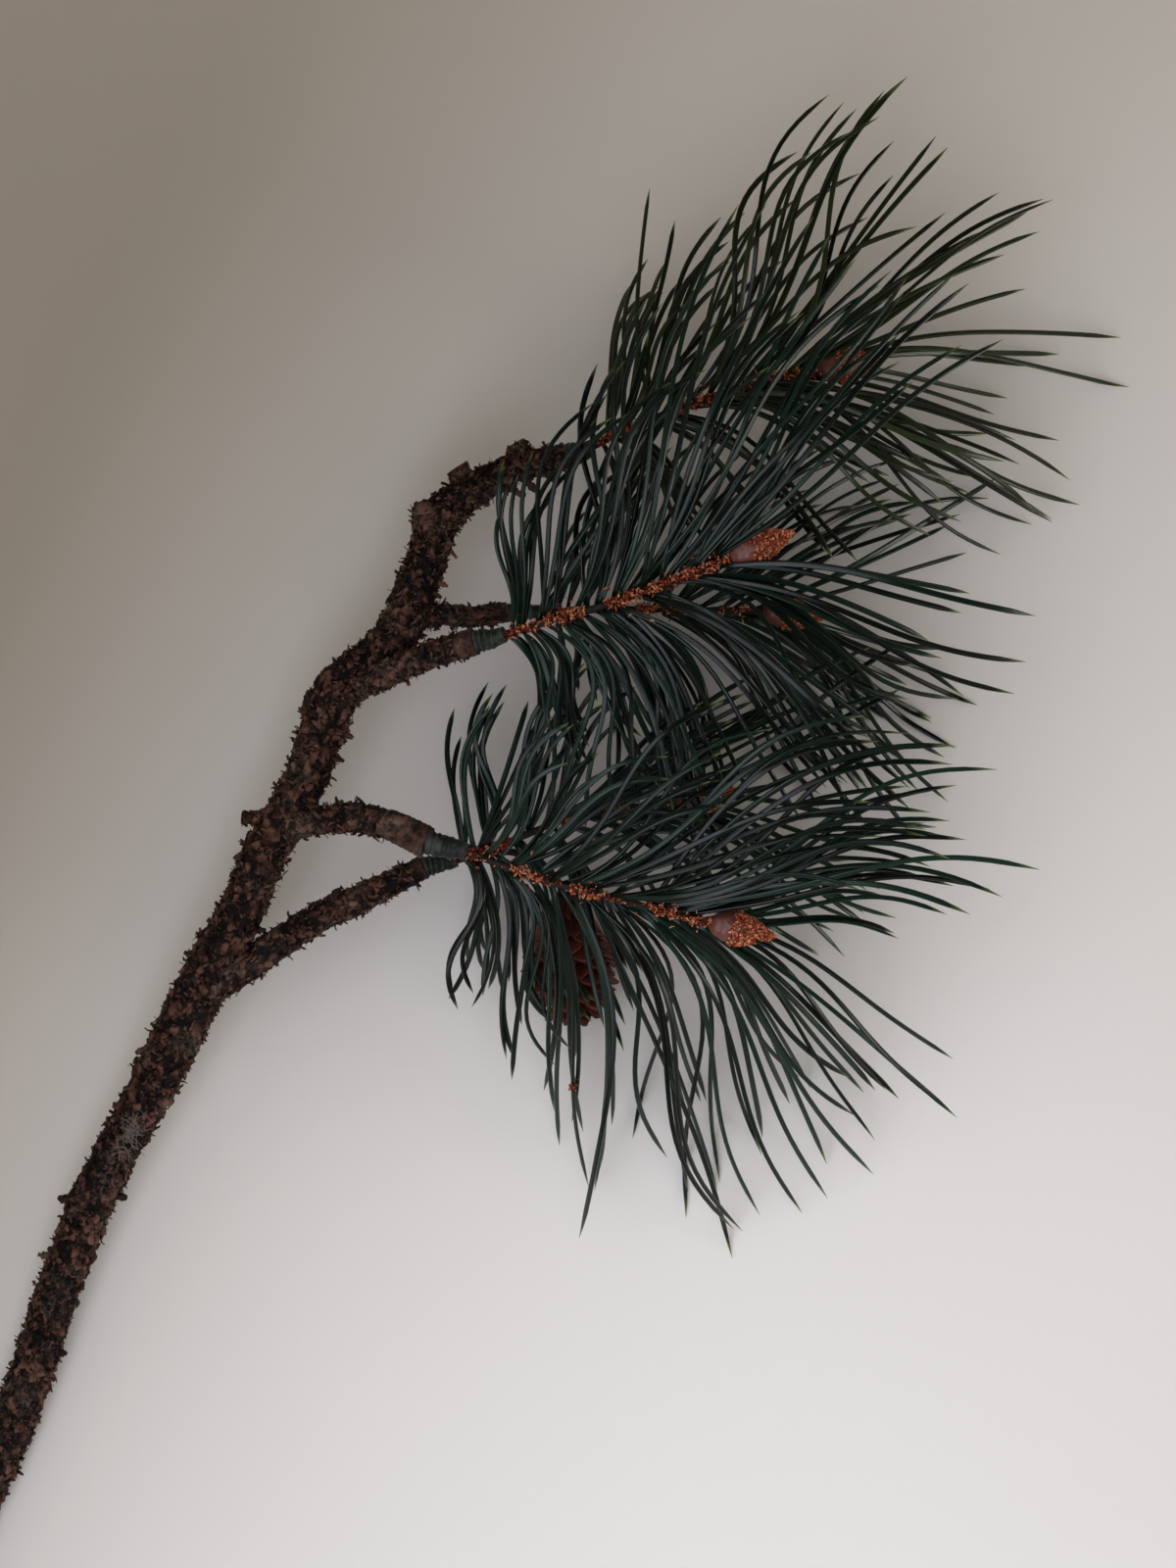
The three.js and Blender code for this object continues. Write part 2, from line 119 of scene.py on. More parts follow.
# Each spray: where it is grown from, its twig, its bud's point, and guides for its needles on the
# left and right of the twig. A guide is station along the twig, heading from the twig's axis in
# degrees, reach seen from above, and height of the tip.
SPRAYS = {
    "lower_front": {
        "fullness": 1.25,
        "grown_from": "side_branch_2",
        "twig": [(349.6, -53, 70), (352.5, -81, 74), (357, -105, 75), (361.5, -129, 72)],
        "bud": (366, -149, 71),
        "left": [
            (0.06, 84, 50, 85), (0.12, 71, 46, 86), (0.2, 56, 54, 86), (0.28, 47, 68, 85),
            (0.38, 40, 80, 84), (0.45, 36, 94, 86), (0.55, 37, 107, 88), (0.65, 36, 107, 86),
            (0.76, 35, 104, 84), (0.84, 32, 95, 80), (0.92, 27, 77, 76), (0.96, 20, 71, 72),
        ],
        "right": [
            (0.06, -87, 50, 50), (0.12, -85, 59, 44), (0.2, -77, 71, 36), (0.28, -70, 84, 20),
            (0.38, -66, 98, 8), (0.45, -60, 115, 1), (0.53, -54, 122, 1), (0.62, -50, 108, 1),
            (0.74, -46, 112, 6), (0.8, -40, 102, 14), (0.88, -30, 95, 24), (0.96, -16, 88, 45),
        ],
    },
    "lower_back": {
        "fullness": 1.0,
        "grown_from": "side_branch_1",
        "twig": [(343.5, -50.5, 36), (352, -60, 36), (371, -78, 34), (390, -106, 32)],
        "bud": (401, -122, 31),
        "left": [
            (0.06, 75, 48, 40), (0.13, 71, 46, 42), (0.2, 65, 56, 44), (0.28, 60, 53, 45),
            (0.38, 45, 57, 46), (0.46, 34, 67, 46), (0.56, 24, 75, 46), (0.64, 14, 80, 45),
            (0.76, 20, 84, 44), (0.95, 12, 88, 42),
        ],
        "right": [
            (0.06, -105, 40, 8), (0.12, -98, 52, 24), (0.2, -90, 62, 36), (0.28, -82, 68, 42),
            (0.38, -76, 72, 42), (0.48, -68, 78, 34), (0.56, -58, 88, 16), (0.64, -50, 90, 10),
            (0.76, -42, 91, 10), (0.84, -36, 84, 14), (0.95, -20, 86, 20),
        ],
    },
    "middle_front": {
        "fullness": 1.3,
        "grown_from": "side_branch_3",
        "twig": [(412, -36, 66), (422.5, -48, 71), (438, -66, 76), (462, -89, 76)],
        "bud": (477, -103, 75),
        "left": [
            (0.06, 63, 44, 72), (0.12, 57, 57, 78), (0.2, 55, 71, 80), (0.28, 52, 82, 82),
            (0.38, 48, 95, 84), (0.46, 46, 106, 86), (0.54, 44, 112, 88), (0.62, 42, 117, 88),
            (0.76, 38, 118, 86), (0.84, 33, 114, 84), (0.95, 14, 98, 82),
        ],
        "right": [
            (0.06, -72, 28, 58), (0.12, -80, 40, 58), (0.2, -88, 52, 60), (0.28, -86, 68, 62),
            (0.38, -78, 82, 62), (0.46, -70, 94, 60), (0.56, -62, 98, 57), (0.64, -54, 96, 55),
            (0.76, -46, 94, 56), (0.84, -38, 96, 60), (0.95, -20, 100, 72),
        ],
    },
    "middle_back": {
        "fullness": 1.0,
        "grown_from": "side_branch_4",
        "twig": [(425.5, -43, 37), (432, -56, 36), (439, -70, 35), (455, -105.5, 33)],
        "bud": (462, -124, 32),
        "left": [
            (0.06, 76, 39, 20), (0.2, 70, 56, 20), (0.38, 60, 68, 18), (0.55, 48, 75, 16),
            (0.64, 40, 80, 14), (0.76, 34, 81, 12), (0.95, 14, 81, 10),
        ],
        "right": [
            (0.06, -76, 36, 14), (0.14, -75, 53, 10), (0.28, -72, 66, 6), (0.38, -66, 80, 4),
            (0.5, -58, 86, 1), (0.64, -46, 86, 1), (0.76, -38, 82, 2), (0.86, -30, 78, 4),
            (0.95, -14, 78, 8),
        ],
    },
    "top": {
        "fullness": 1.15,
        "grown_from": "leader",
        "twig": [(475.5, -35.5, 50), (490, -48, 52), (515, -73, 52), (527, -89, 51)],
        "bud": (538, -105, 50),
        "left": [
            (0.06, 66, 60, 1), (0.12, 58, 56, 22), (0.2, 52, 67, 36), (0.27, 52, 76, 42),
            (0.38, 48, 94, 46), (0.45, 45, 94, 48), (0.53, 42, 102, 50), (0.61, 38, 107, 50),
            (0.76, 30, 96, 52), (0.84, 22, 95, 50), (0.95, 8, 92, 48),
        ],
        "right": [
            (0.06, -87, 27, 46), (0.16, -74, 41, 46), (0.28, -62, 57, 46), (0.4, -54, 75, 42),
            (0.52, -46, 90, 36), (0.62, -40, 96, 30), (0.76, -33, 98, 18), (0.84, -28, 93, 10),
            (0.95, -12, 90, 2),
        ],
    },
}
# Where a clump of flock has stuck to a needle: its spray and side, and x and y.
STRAY_SPRAY = ("lower_front", "right")
STRAY_SPECK = (296.0, -113.5)
# Splinters that stand off the bark: x, y, height, heading in degrees, length and width.
CHIPS = [
    (318, -23, 43, -2, 6.5, 2.4), (311, -19, 44, -41, 5, 2), (326, -31, 41, -30, 3.5, 2),
    (432, -8, 50, -118, 8.5, 1.5), (419, -10, 51, -65, 6.5, 2.2), (416, -10, 52, -75, 6, 1.8),
    (421, -10, 49, -50, 5.5, 2), (409, -12, 50, -80, 5, 2), (460, -22, 50, -120, 7, 3),
    (456, -19, 49, -128, 6.5, 2.6), (464, -27, 51, -110, 6, 2.4), (450, -13, 50, -130, 5, 2.2),
    (366, -4, 49, -90, 5.5, 2.5), (358, -5, 46, -75, 4.5, 2), (300, -5, 44, -80, 5, 2.4),
    (197, 12, 25, 100, 5.5, 2.8), (200, 12.5, 24, 135, 5, 2.4), (178, 11, 21, 110, 5, 2.6),
    (205, -0.5, 27, -70, 4, 2.4), (150, -3, 16, -60, 4.5, 2.6), (120, 6.5, 12, 115, 4, 2.4),
    (60, -6, 8, -70, 4.5, 2.4), (252, 9.5, 37, 120, 4.5, 2.2), (285, 8, 44, 105, 4, 2),
]
CONE_START = np.array([349.0, -86.0, 15.0])
CONE_HEADING = np.array([-38.0, -23.5, -3.5])
STALK = [(346, -53, 33), (349, -57.5, 30), (354, -66, 24), (355, -76, 18), (350.5, -85, 15)]


def linear(hex_colour):
    """An sRGB hex colour as linear red, green and blue."""
    shares = [int(hex_colour[i : i + 2], 16) / 255 for i in (1, 3, 5)]
    return tuple(c / 12.92 if c <= 0.04045 else ((c + 0.055) / 1.055) ** 2.4 for c in shares)


def length_setting(name, description, millimetres):
    return bpy.props.FloatProperty(
        name=name, description=description, default=millimetres * MM, min=0.0, unit="LENGTH"
    )


def colour_setting(name, description, hex_colour):
    return bpy.props.FloatVectorProperty(
        name=name,
        description=description,
        default=linear(hex_colour),
        min=0.0,
        max=1.0,
        size=3,
        subtype="COLOR",
    )


class BranchSizes(bpy.types.PropertyGroup):
    """Sizes and counts that a user would change."""

    needle_width: length_setting("Needle Width", "Across the flat of one needle", 1.65)
    needle_thickness: length_setting("Needle Thickness", "Through one needle", 1.3)
    bundles: bpy.props.IntProperty(
        name="Bundles a Side",
        description="Needle bundles along each side of a twig",
        default=15,
        min=4,
    )
    tilt: length_setting("Needle Spread", "Reach of tips above and below a spray's plane", 15.0)
    bark_relief: length_setting("Bark Relief", "Height of the stem's bark plates", 1.8)
    flake_length: length_setting("Flake Length", "Length of a typical curled bark flake", 2.7)
    grain_length: length_setting("Grain Length", "Length of a typical grain of flock", 1.3)
    bud_length: length_setting("Bud Length", "From a bud's base to its point", 19.5)
    bud_radius: length_setting("Bud Radius", "Half of a bud's greatest width", 4.9)
    cone_length: length_setting("Cone Length", "From the cone's stalk to its end", 45.0)
    cone_radius: length_setting("Cone Radius", "Half of the cone's greatest width", 15.0)


class BranchColours(bpy.types.PropertyGroup):
    """Colours that a user would change."""

    needle: colour_setting("Needle", "Blue-green of most needles", "#08110d")
    needle_light: colour_setting("Needle Light", "Paler blue-green of some needles", "#1f372c")
    top_needle: colour_setting("Top Needle", "Olive of the top spray's needles", "#12180c")
    top_needle_light: colour_setting("Top Needle Light", "Paler olive", "#36432a")
    tip: colour_setting("Needle Tip", "Pale end of a needle", "#6f7d4d")
    flock: colour_setting("Flock", "Copper flock", "#b8552f")
    # Painted shade and painted highlight of the flock: shaded and glinting copies of the copper.
    flock_dark: colour_setting("Flock Dark", "Shaded grains", "#4c1c11")
    flock_light: colour_setting("Flock Light", "Bright grains", "#f2b78c")
    bud: colour_setting("Bud", "Smooth base of a bud", "#7a4f47")
    bark: colour_setting("Bark", "Dark outer bark", "#1c110d")
    bark_tan: colour_setting("Bark Tan", "Warm inner bark", "#8c6150")
    bark_grey: colour_setting("Bark Grey", "Weathered grey bark", "#80766d")
    collar: colour_setting("Collar", "Green of the ringed collars", "#19221d")
    # The cone's dark colour doubles as painted shade at the scales' roots and undersides; its light
    # colour is partly a painted highlight on their edges.
    cone: colour_setting("Cone", "Dark scales of the cone", "#2e120c")
    cone_light: colour_setting("Cone Light", "Edges of the cone's scales", "#7c3f2a")
    floor: colour_setting("Floor", "Pale floor", "#e9e7e4")


def palette(context):
    """The colours as plain triples, by name."""
    group = context.scene.branch_colours
    return SimpleNamespace(**{name: tuple(getattr(group, name)) for name in group.__annotations__})


def shade(colour, share):
    """A colour made darker or lighter."""
    return tuple(share * c for c in colour)


def size_mm(context, name):
    """One of the sizes, in millimetres."""
    return getattr(context.scene.branch_sizes, name) / MM


def design_shift():
    """The design frame's origin in the row frame, from the middle of the stem's cut end."""
    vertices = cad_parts["stem_lower"].data.vertices
    points = np.empty(len(vertices) * 3)
    vertices.foreach_get("co", points)
    points = points.reshape(-1, 3) / MM
    face = points[points[:, 0] < points[:, 0].min() + 0.05]
    middle = (face[:, 1].min() + face[:, 1].max()) / 2
    return np.array([face[:, 0].min(), middle, points[:, 2].min()])


SHIFT = design_shift()


def hashed(a, b, seed):
    """A repeatable number from 0 to 1 for each pair of whole numbers."""
    mixed = np.sin(a * 127.1 + b * 311.7 + seed * 74.7) * 43758.5453
    return mixed - np.floor(mixed)


def value_noise(points, scale, seed):
    """Smooth noise from -1 to 1: hashed lattice corners blended by a cubic ease on each axis."""
    p = points / scale
    base = np.floor(p)
    f = p - base
    f = f * f * (3 - 2 * f)
    total = np.zeros(points.shape[:-1])
    for dx in (0, 1):
        for dy in (0, 1):
            for dz in (0, 1):
                corner = base + (dx, dy, dz)
                weight = (
                    (f[..., 0] if dx else 1 - f[..., 0])
                    * (f[..., 1] if dy else 1 - f[..., 1])
                    * (f[..., 2] if dz else 1 - f[..., 2])
                )
                total += weight * hashed(corner[..., 0] + 57 * corner[..., 2], corner[..., 1], seed)
    return total * 2 - 1


def plates(u, v, wrap, seed):
    """Cells on a wrapped sheet: distance from the cell's edge, its hash and the place along it."""
    iu, iv = np.floor(u), np.floor(v)
    near = np.full(u.shape, 9.0)
    second = np.full(u.shape, 9.0)
    tone = np.zeros(u.shape)
    along = np.zeros(u.shape)
    for du in (-1, 0, 1):
        for dv in (-1, 0, 1):
            cu, cv = iu + du, iv + dv
            key = np.mod(cu, wrap)
            pu = cu + hashed(key, cv, seed)
            pv = cv + hashed(key, cv, seed + 1)
            distance = np.hypot(u - pu, v - pv)
            closer = distance < near
            second = np.where(closer, near, np.minimum(second, distance))
            tone = np.where(closer, hashed(key, cv, seed + 2), tone)
            along = np.where(closer, v - pv, along)
            near = np.where(closer, distance, near)
    return second - near, tone, along


def stretches(points):
    """The distance from each point to the next."""
    return np.linalg.norm(np.diff(points[:, :3], axis=0), axis=1)


def smooth_curve(points, count):
    """A centripetal Catmull-Rom curve through points, resampled at even distances.
    Further columns, such as a radius, are carried along by the same blend."""
    p = np.array(points, float)
    p = np.vstack([2 * p[0] - p[1], p, 2 * p[-1] - p[-2]])
    knots = np.concatenate([[0], np.cumsum(stretches(p) ** 0.5)])
    dense = []
    for i in range(1, len(p) - 2):
        t0, t1, t2, t3 = knots[i - 1 : i + 3]
        t = np.linspace(t1, t2, 24, endpoint=i == len(p) - 3)[:, None]
        a1 = ((t1 - t) * p[i - 1] + (t - t0) * p[i]) / (t1 - t0)
        a2 = ((t2 - t) * p[i] + (t - t1) * p[i + 1]) / (t2 - t1)
        a3 = ((t3 - t) * p[i + 1] + (t - t2) * p[i + 2]) / (t3 - t2)
        b1 = ((t2 - t) * a1 + (t - t0) * a2) / (t2 - t0)
        b2 = ((t3 - t) * a2 + (t - t1) * a3) / (t3 - t1)
        dense.append(((t2 - t) * b1 + (t - t1) * b2) / (t2 - t1))
    dense = np.vstack(dense)
    run = np.concatenate([[0], np.cumsum(stretches(dense))])
    even = np.linspace(0, run[-1], count)
    return np.stack([np.interp(even, run, dense[:, k]) for k in range(dense.shape[1])], axis=1)


def circle(sides):
    """Places round a circle of radius 1, from straight below and onward."""
    turn = np.arange(sides) / sides * FULL_TURN
    return np.stack([np.sin(turn), -np.cos(turn)], axis=1)


def points_at(curve, shares):
    """Points at shares of the length of an evenly sampled curve."""
    known = np.linspace(0, 1, len(curve))
    return np.stack([np.interp(shares, known, curve[:, k]) for k in range(3)], axis=1)


def unit(vectors):
    return vectors / np.maximum(np.linalg.norm(vectors, axis=-1, keepdims=True), 1e-9)


def path_frames(path):
    """Forward, side and up directions along paths whose points run on the last axis but one."""
    forward = unit(np.gradient(path, axis=-2))
    side = unit(np.cross(forward, UP))
    return forward, side, np.cross(side, forward)


def rings_along(path, outline):
    """Sections carried along paths: outline holds each point's place to the side and upwards."""
    _, side, up = path_frames(path)
    return (
        path[..., None, :]
        + side[..., None, :] * outline[..., 0:1]
        + up[..., None, :] * outline[..., 1:2]
    )


def tube_faces(tubes, rings, sides):
    """Quads round and along each tube, and a fan on a pole vertex at either end."""
    ring, turn = np.meshgrid(np.arange(rings - 1), np.arange(sides), indexing="ij")
    here = (ring * sides + turn).ravel()
    beside = (ring * sides + (turn + 1) % sides).ravel()
    quads = np.stack([here, here + sides, beside + sides, beside], axis=1)
    start, finish = rings * sides, rings * sides + 1
    around = np.arange(sides)
    after = (around + 1) % sides
    last = (rings - 1) * sides
    fans = np.concatenate(
        [
            np.stack([np.full(sides, start), around, after], axis=1),
            np.stack([np.full(sides, finish), after + last, around + last], axis=1),
        ]
    )
    step = (np.arange(tubes) * (rings * sides + 2))[:, None, None]
    return (quads[None] + step).reshape(-1, 4), (fans[None] + step).reshape(-1, 3)


def add_values(mesh, values):
    """Numbers for each vertex, by attribute name."""
    for key, numbers in values.items():
        layer = mesh.attributes.new(key, "FLOAT", "POINT")
        layer.data.foreach_set("value", np.asarray(numbers, np.float32).ravel())


def put_mesh(name, vertices, quads, triangles=None, values=None, uv=None):
    """A mesh object at the origin from arrays in the design frame. values are numbers for each
    vertex by attribute name, and uv gives two numbers for each vertex."""
    triangles = np.empty((0, 3), int) if triangles is None else triangles
    loops = np.concatenate([quads.ravel(), triangles.ravel()]).astype(np.int32)
    starts = np.concatenate(
        [np.arange(len(quads)) * 4, len(quads) * 4 + np.arange(len(triangles)) * 3]
    ).astype(np.int32)
    lowest = LEAST_HEIGHT - SHIFT[2]
    vertices = np.column_stack([vertices[:, :2], np.maximum(vertices[:, 2], lowest)])
    mesh = bpy.data.meshes.new(name)
    mesh.vertices.add(len(vertices))
    mesh.vertices.foreach_set("co", ((vertices + SHIFT) * MM).astype(np.float32).ravel())
    mesh.loops.add(len(loops))
    mesh.loops.foreach_set("vertex_index", loops)
    mesh.polygons.add(len(starts))
    mesh.polygons.foreach_set("loop_start", starts)
    mesh.update(calc_edges=True)
    mesh.validate()
    mesh.polygons.foreach_set("use_smooth", np.ones(len(mesh.polygons), bool))
    add_values(mesh, values or {})
    if uv is not None:
        layer = mesh.uv_layers.new(name="UVMap")
        layer.data.foreach_set("uv", uv[loops].astype(np.float32).ravel())
    piece = bpy.data.objects.new(name, mesh)
    bpy.context.scene.collection.objects.link(piece)
    return piece


def put_tubes(name, rings, values=None):
    """Closed tubes from an array of tube, ring, side and place. The first and last ring close on
    their middle. uv runs round a tube and along it, and values hold one number for each tube."""
    tubes, count, sides, _ = rings.shape
    poles = np.stack([rings[:, 0].mean(axis=1), rings[:, -1].mean(axis=1)], axis=1)
    vertices = np.concatenate([rings.reshape(tubes, -1, 3), poles], axis=1)
    quads, triangles = tube_faces(tubes, count, sides)
    along, around = np.meshgrid(np.linspace(0, 1, count), np.arange(sides) / sides, indexing="ij")
    uv = np.stack([around.ravel(), along.ravel()], axis=1)
    uv = np.tile(np.vstack([uv, [[0, 0], [0, 1]]]), (tubes, 1))
    spread = {k: np.repeat(v, count * sides + 2) for k, v in (values or {}).items()}
    return put_mesh(name, vertices.reshape(-1, 3), quads, triangles, spread, uv)


def put_limb(name, rings, **values):
    """One closed tube with numbers for each point of its rings. Each pole takes its ring's mean."""
    piece = put_tubes(name, rings[None])
    for key, numbers in values.items():
        poles = [numbers[0].mean(), numbers[-1].mean()]
        add_values(piece.data, {key: np.concatenate([numbers.ravel(), poles])})
    return piece


def finish_piece(piece, material, nodes=()):
    """The piece takes its material, rides on the branch and stands for its CAD nodes."""
    piece.data.materials.append(material)
    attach(piece, "root")
    if nodes:
        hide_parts(*nodes)
    return piece


def add_node(tree, kind, settings=None, **inputs):
    """Adds a node, sets its properties, and links or sets its inputs by name or position."""
    node = tree.nodes.new(kind)
    for key, value in (settings or {}).items():
        setattr(node, key, value)
    for key, value in inputs.items():
        socket = node.inputs[int(key[1:])] if key[0] == "_" else node.inputs[key.replace("_", " ")]
        if isinstance(value, bpy.types.NodeSocket):
            tree.links.new(value, socket)
        elif hasattr(value, "__len__") and len(value) == 3 and len(socket.default_value) == 4:
            socket.default_value = (*value, 1.0)
        else:
            socket.default_value = value
    return node


def new_material(name):
    material = bpy.data.materials.new(name)
    material.use_nodes = True
    return material, material.node_tree


def finish_material(material, colour, roughness, height, strength, millimetres, **inputs):
    """Gives the shader its colour, roughness, other plain inputs and bumps of a height."""
    tree = material.node_tree
    shader = tree.nodes["Principled BSDF"]
    tree.links.new(colour, shader.inputs["Base Color"])
    for key, value in {"Roughness": roughness, **inputs}.items():
        shader.inputs[key.replace("_", " ")].default_value = value
    if height is not None:
        depth = {"Height": height, "Strength": strength, "Distance": millimetres * MM}
        bumps = add_node(tree, "ShaderNodeBump", None, **depth)
        tree.links.new(bumps.outputs[0], shader.inputs["Normal"])
    return material


def blend_colours(tree, factor, first, second):
    """The colour between two, by a factor from 0 to 1."""
    settings = {"data_type": "RGBA"}
    return add_node(tree, "ShaderNodeMix", settings, _0=factor, _6=first, _7=second).outputs[2]


def times(tree, first, second):
    return calculate(tree, "MULTIPLY", first, second)


def plus(tree, first, second):
    return calculate(tree, "ADD", first, second)


def glaze(tree, colour, over, where, share):
    """The colour with a share of another laid over it where a factor says."""
    return blend_colours(tree, times(tree, where, share), colour, over)


def attribute(tree, name):
    return add_node(tree, "ShaderNodeAttribute", {"attribute_name": name}).outputs["Fac"]


def noise(tree, millimetres, detail=4.0, rough=0.55):
    """Noise whose features are about this many millimetres across."""
    place = add_node(tree, "ShaderNodeTexCoord").outputs["Object"]
    grain = {"Scale": 1 / (millimetres * MM), "Detail": detail, "Roughness": rough}
    return add_node(tree, "ShaderNodeTexNoise", None, Vector=place, **grain).outputs["Fac"]


def ramp(tree, value, low, high):
    """0 below low, 1 above high and even between them."""
    span = {"From_Min": low, "From_Max": high}
    return add_node(tree, "ShaderNodeMapRange", {"clamp": True}, Value=value, **span).outputs[0]


def calculate(tree, operation, first, second=0.0):
    node = add_node(tree, "ShaderNodeMath", {"operation": operation}, _0=first, _1=second)
    return node.outputs[0]


def needle_material(name, dark, light, tip):
    """Polyethylene needles, injection moulded: satin, with fine grooves along them, each needle
    its own depth of green, and ends that the thin moulding leaves pale."""
    material, tree = new_material(name)
    place = add_node(tree, "ShaderNodeTexCoord").outputs["UV"]
    uv = add_node(tree, "ShaderNodeSeparateXYZ", None, Vector=place).outputs
    tone = times(tree, attribute(tree, "tone"), 0.8)
    mottled = plus(tree, tone, times(tree, noise(tree, 9), 0.4))
    colour = blend_colours(tree, ramp(tree, mottled, 0.25, 1.05), dark, light)
    colour = blend_colours(tree, ramp(tree, uv[1], 0.93, 0.985), colour, tip)
    grooves = calculate(tree, "SINE", times(tree, uv[0], FULL_TURN * 12))
    worn = plus(tree, times(tree, grooves, 0.5), noise(tree, 1.6))
    return finish_material(material, colour, 0.18, worn, 0.25, 0.1, Specular_IOR_Level=0.55)


def flock_material(colours):
    """Granular flock, sprayed on glue: copper shavings, some grains darkened by painted shade and
    some lightened by a painted highlight, picked at random.
    """
    material, tree = new_material("sprayed_copper_flock")
    tone = attribute(tree, "tone")
    # Painted shade and painted highlight: low-toned grains take a shaded copper, high-toned grains
    # a bright copper glint.
    colour = blend_colours(tree, ramp(tree, tone, 0.0, 0.5), colours.flock_dark, colours.flock)
    colour = blend_colours(tree, ramp(tree, tone, 0.55, 0.95), colour, colours.flock_light)
    return finish_material(material, colour, 0.38, None, 0, 0, Metallic=0.2)


def shared_flock(context):
    """The flock's material, made once for twigs, buds and the stray clump."""
    return bpy.data.materials.get("sprayed_copper_flock") or flock_material(palette(context))


def bark_material(colours):
    """Pine bark, grown and flaking: dark outer bark, warm tan where plates have come away and
    grey where it has weathered, dry and rough. Raised plates and lifted flake ends carry a
    painted highlight of pale tan and grey, and low places carry painted shade."""
    material, tree = new_material("flaking_pine_bark")
    tone, relief = attribute(tree, "tone"), attribute(tree, "relief")
    patch = plus(tree, times(tree, tone, 0.9), times(tree, noise(tree, 0.9, 5.0, 0.7), 0.8))
    patch = plus(tree, patch, times(tree, noise(tree, 16, 2.0), 0.4))
    colour = blend_colours(tree, ramp(tree, patch, 0.95, 1.8), colours.bark, colours.bark_tan)
    spots = ramp(tree, noise(tree, 1.4, 3.0), 0.4, 0.6)
    weathered = times(tree, ramp(tree, noise(tree, 11, 3.0), 0.48, 0.7), spots)
    colour = glaze(tree, colour, colours.bark_grey, weathered, 0.6)
    # Painted highlight: where the relief is high, on raised plates and lifted flake ends, pale tan
    # is laid over the bark, and pale grey over some of it.
    lifted = ramp(tree, relief, 0.45, 0.75)
    colour = glaze(tree, colour, shade(colours.bark_tan, 1.1), lifted, 0.3)
    painted_grey_highlight = times(tree, lifted, ramp(tree, tone, 0.45, 0.75))
    colour = glaze(tree, colour, colours.bark_grey, painted_grey_highlight, 0.25)
    # Painted shade: where the relief is low, between plates and at the roots of flakes, the bark is
    # darkened to near black.
    colour = glaze(tree, colour, shade(colours.bark, 0.25), ramp(tree, relief, 0.35, -0.05), 0.88)
    rough = noise(tree, 0.7, 5.0, 0.7)
    return finish_material(material, colour, 0.62, rough, 0.9, 0.4, Specular_IOR_Level=0.35)


def collar_material(colours):
    """Moulded collars: dull green with fine ribs and pale rubbed edges."""
    material, tree = new_material("moulded_green_collar")
    patch = ramp(tree, noise(tree, 2.2), 0.35, 0.75)
    colour = blend_colours(tree, patch, colours.collar, shade(colours.collar, 1.6))
    edges = ramp(tree, attribute(tree, "relief"), 0.1, 0.35)
    colour = glaze(tree, colour, linear("#5c6259"), edges, 0.4)
    return finish_material(material, colour, 0.55, noise(tree, 0.7), 0.6, 0.2)


def bud_material(colours):
    """Buds of moulded plastic: satin mauve-brown, paler along the scales' edges."""
    material, tree = new_material("moulded_mauve_bud")
    patch = ramp(tree, noise(tree, 3), 0.35, 0.7)
    colour = blend_colours(tree, patch, shade(colours.bud, 0.55), colours.bud)
    edges = ramp(tree, attribute(tree, "relief"), 0.1, 0.5)
    colour = glaze(tree, colour, shade(colours.bud, 1.5), edges, 0.5)
    return finish_material(material, colour, 0.34, noise(tree, 1.2), 0.3, 0.15)


def cone_material(colours):
    """Cone scales, woody and lacquered: nearly black near their roots and on their undersides,
    which is painted shade, and warm brown towards their edges, which is partly their own colour
    and partly a painted highlight.
    """
    material, tree = new_material("lacquered_cone_scales")
    # Painted shade and highlight: the relief grows from a scale's root to its end and is halved on
    # its underside.
    edge = times(tree, attribute(tree, "relief"), 0.8)
    warm = plus(tree, edge, times(tree, attribute(tree, "tone"), 0.35))
    colour = blend_colours(tree, ramp(tree, warm, 0.35, 1.15), colours.cone, colours.cone_light)
    grain = ramp(tree, noise(tree, 1.5), 0.4, 0.65)
    colour = glaze(tree, colour, shade(colours.cone, 0.5), grain, 0.35)
    return finish_material(material, colour, 0.38, noise(tree, 1.1), 0.45, 0.25)


def plain_material(name, hex_colour, roughness):
    """A dull finish with a little mottling."""
    material, tree = new_material(name)
    colour = linear(hex_colour)
    mottled = ramp(tree, noise(tree, 2.5), 0.35, 0.65)
    colour = blend_colours(tree, mottled, shade(colour, 0.75), colour)
    return finish_material(material, colour, roughness, noise(tree, 0.8), 0.3, 0.15)


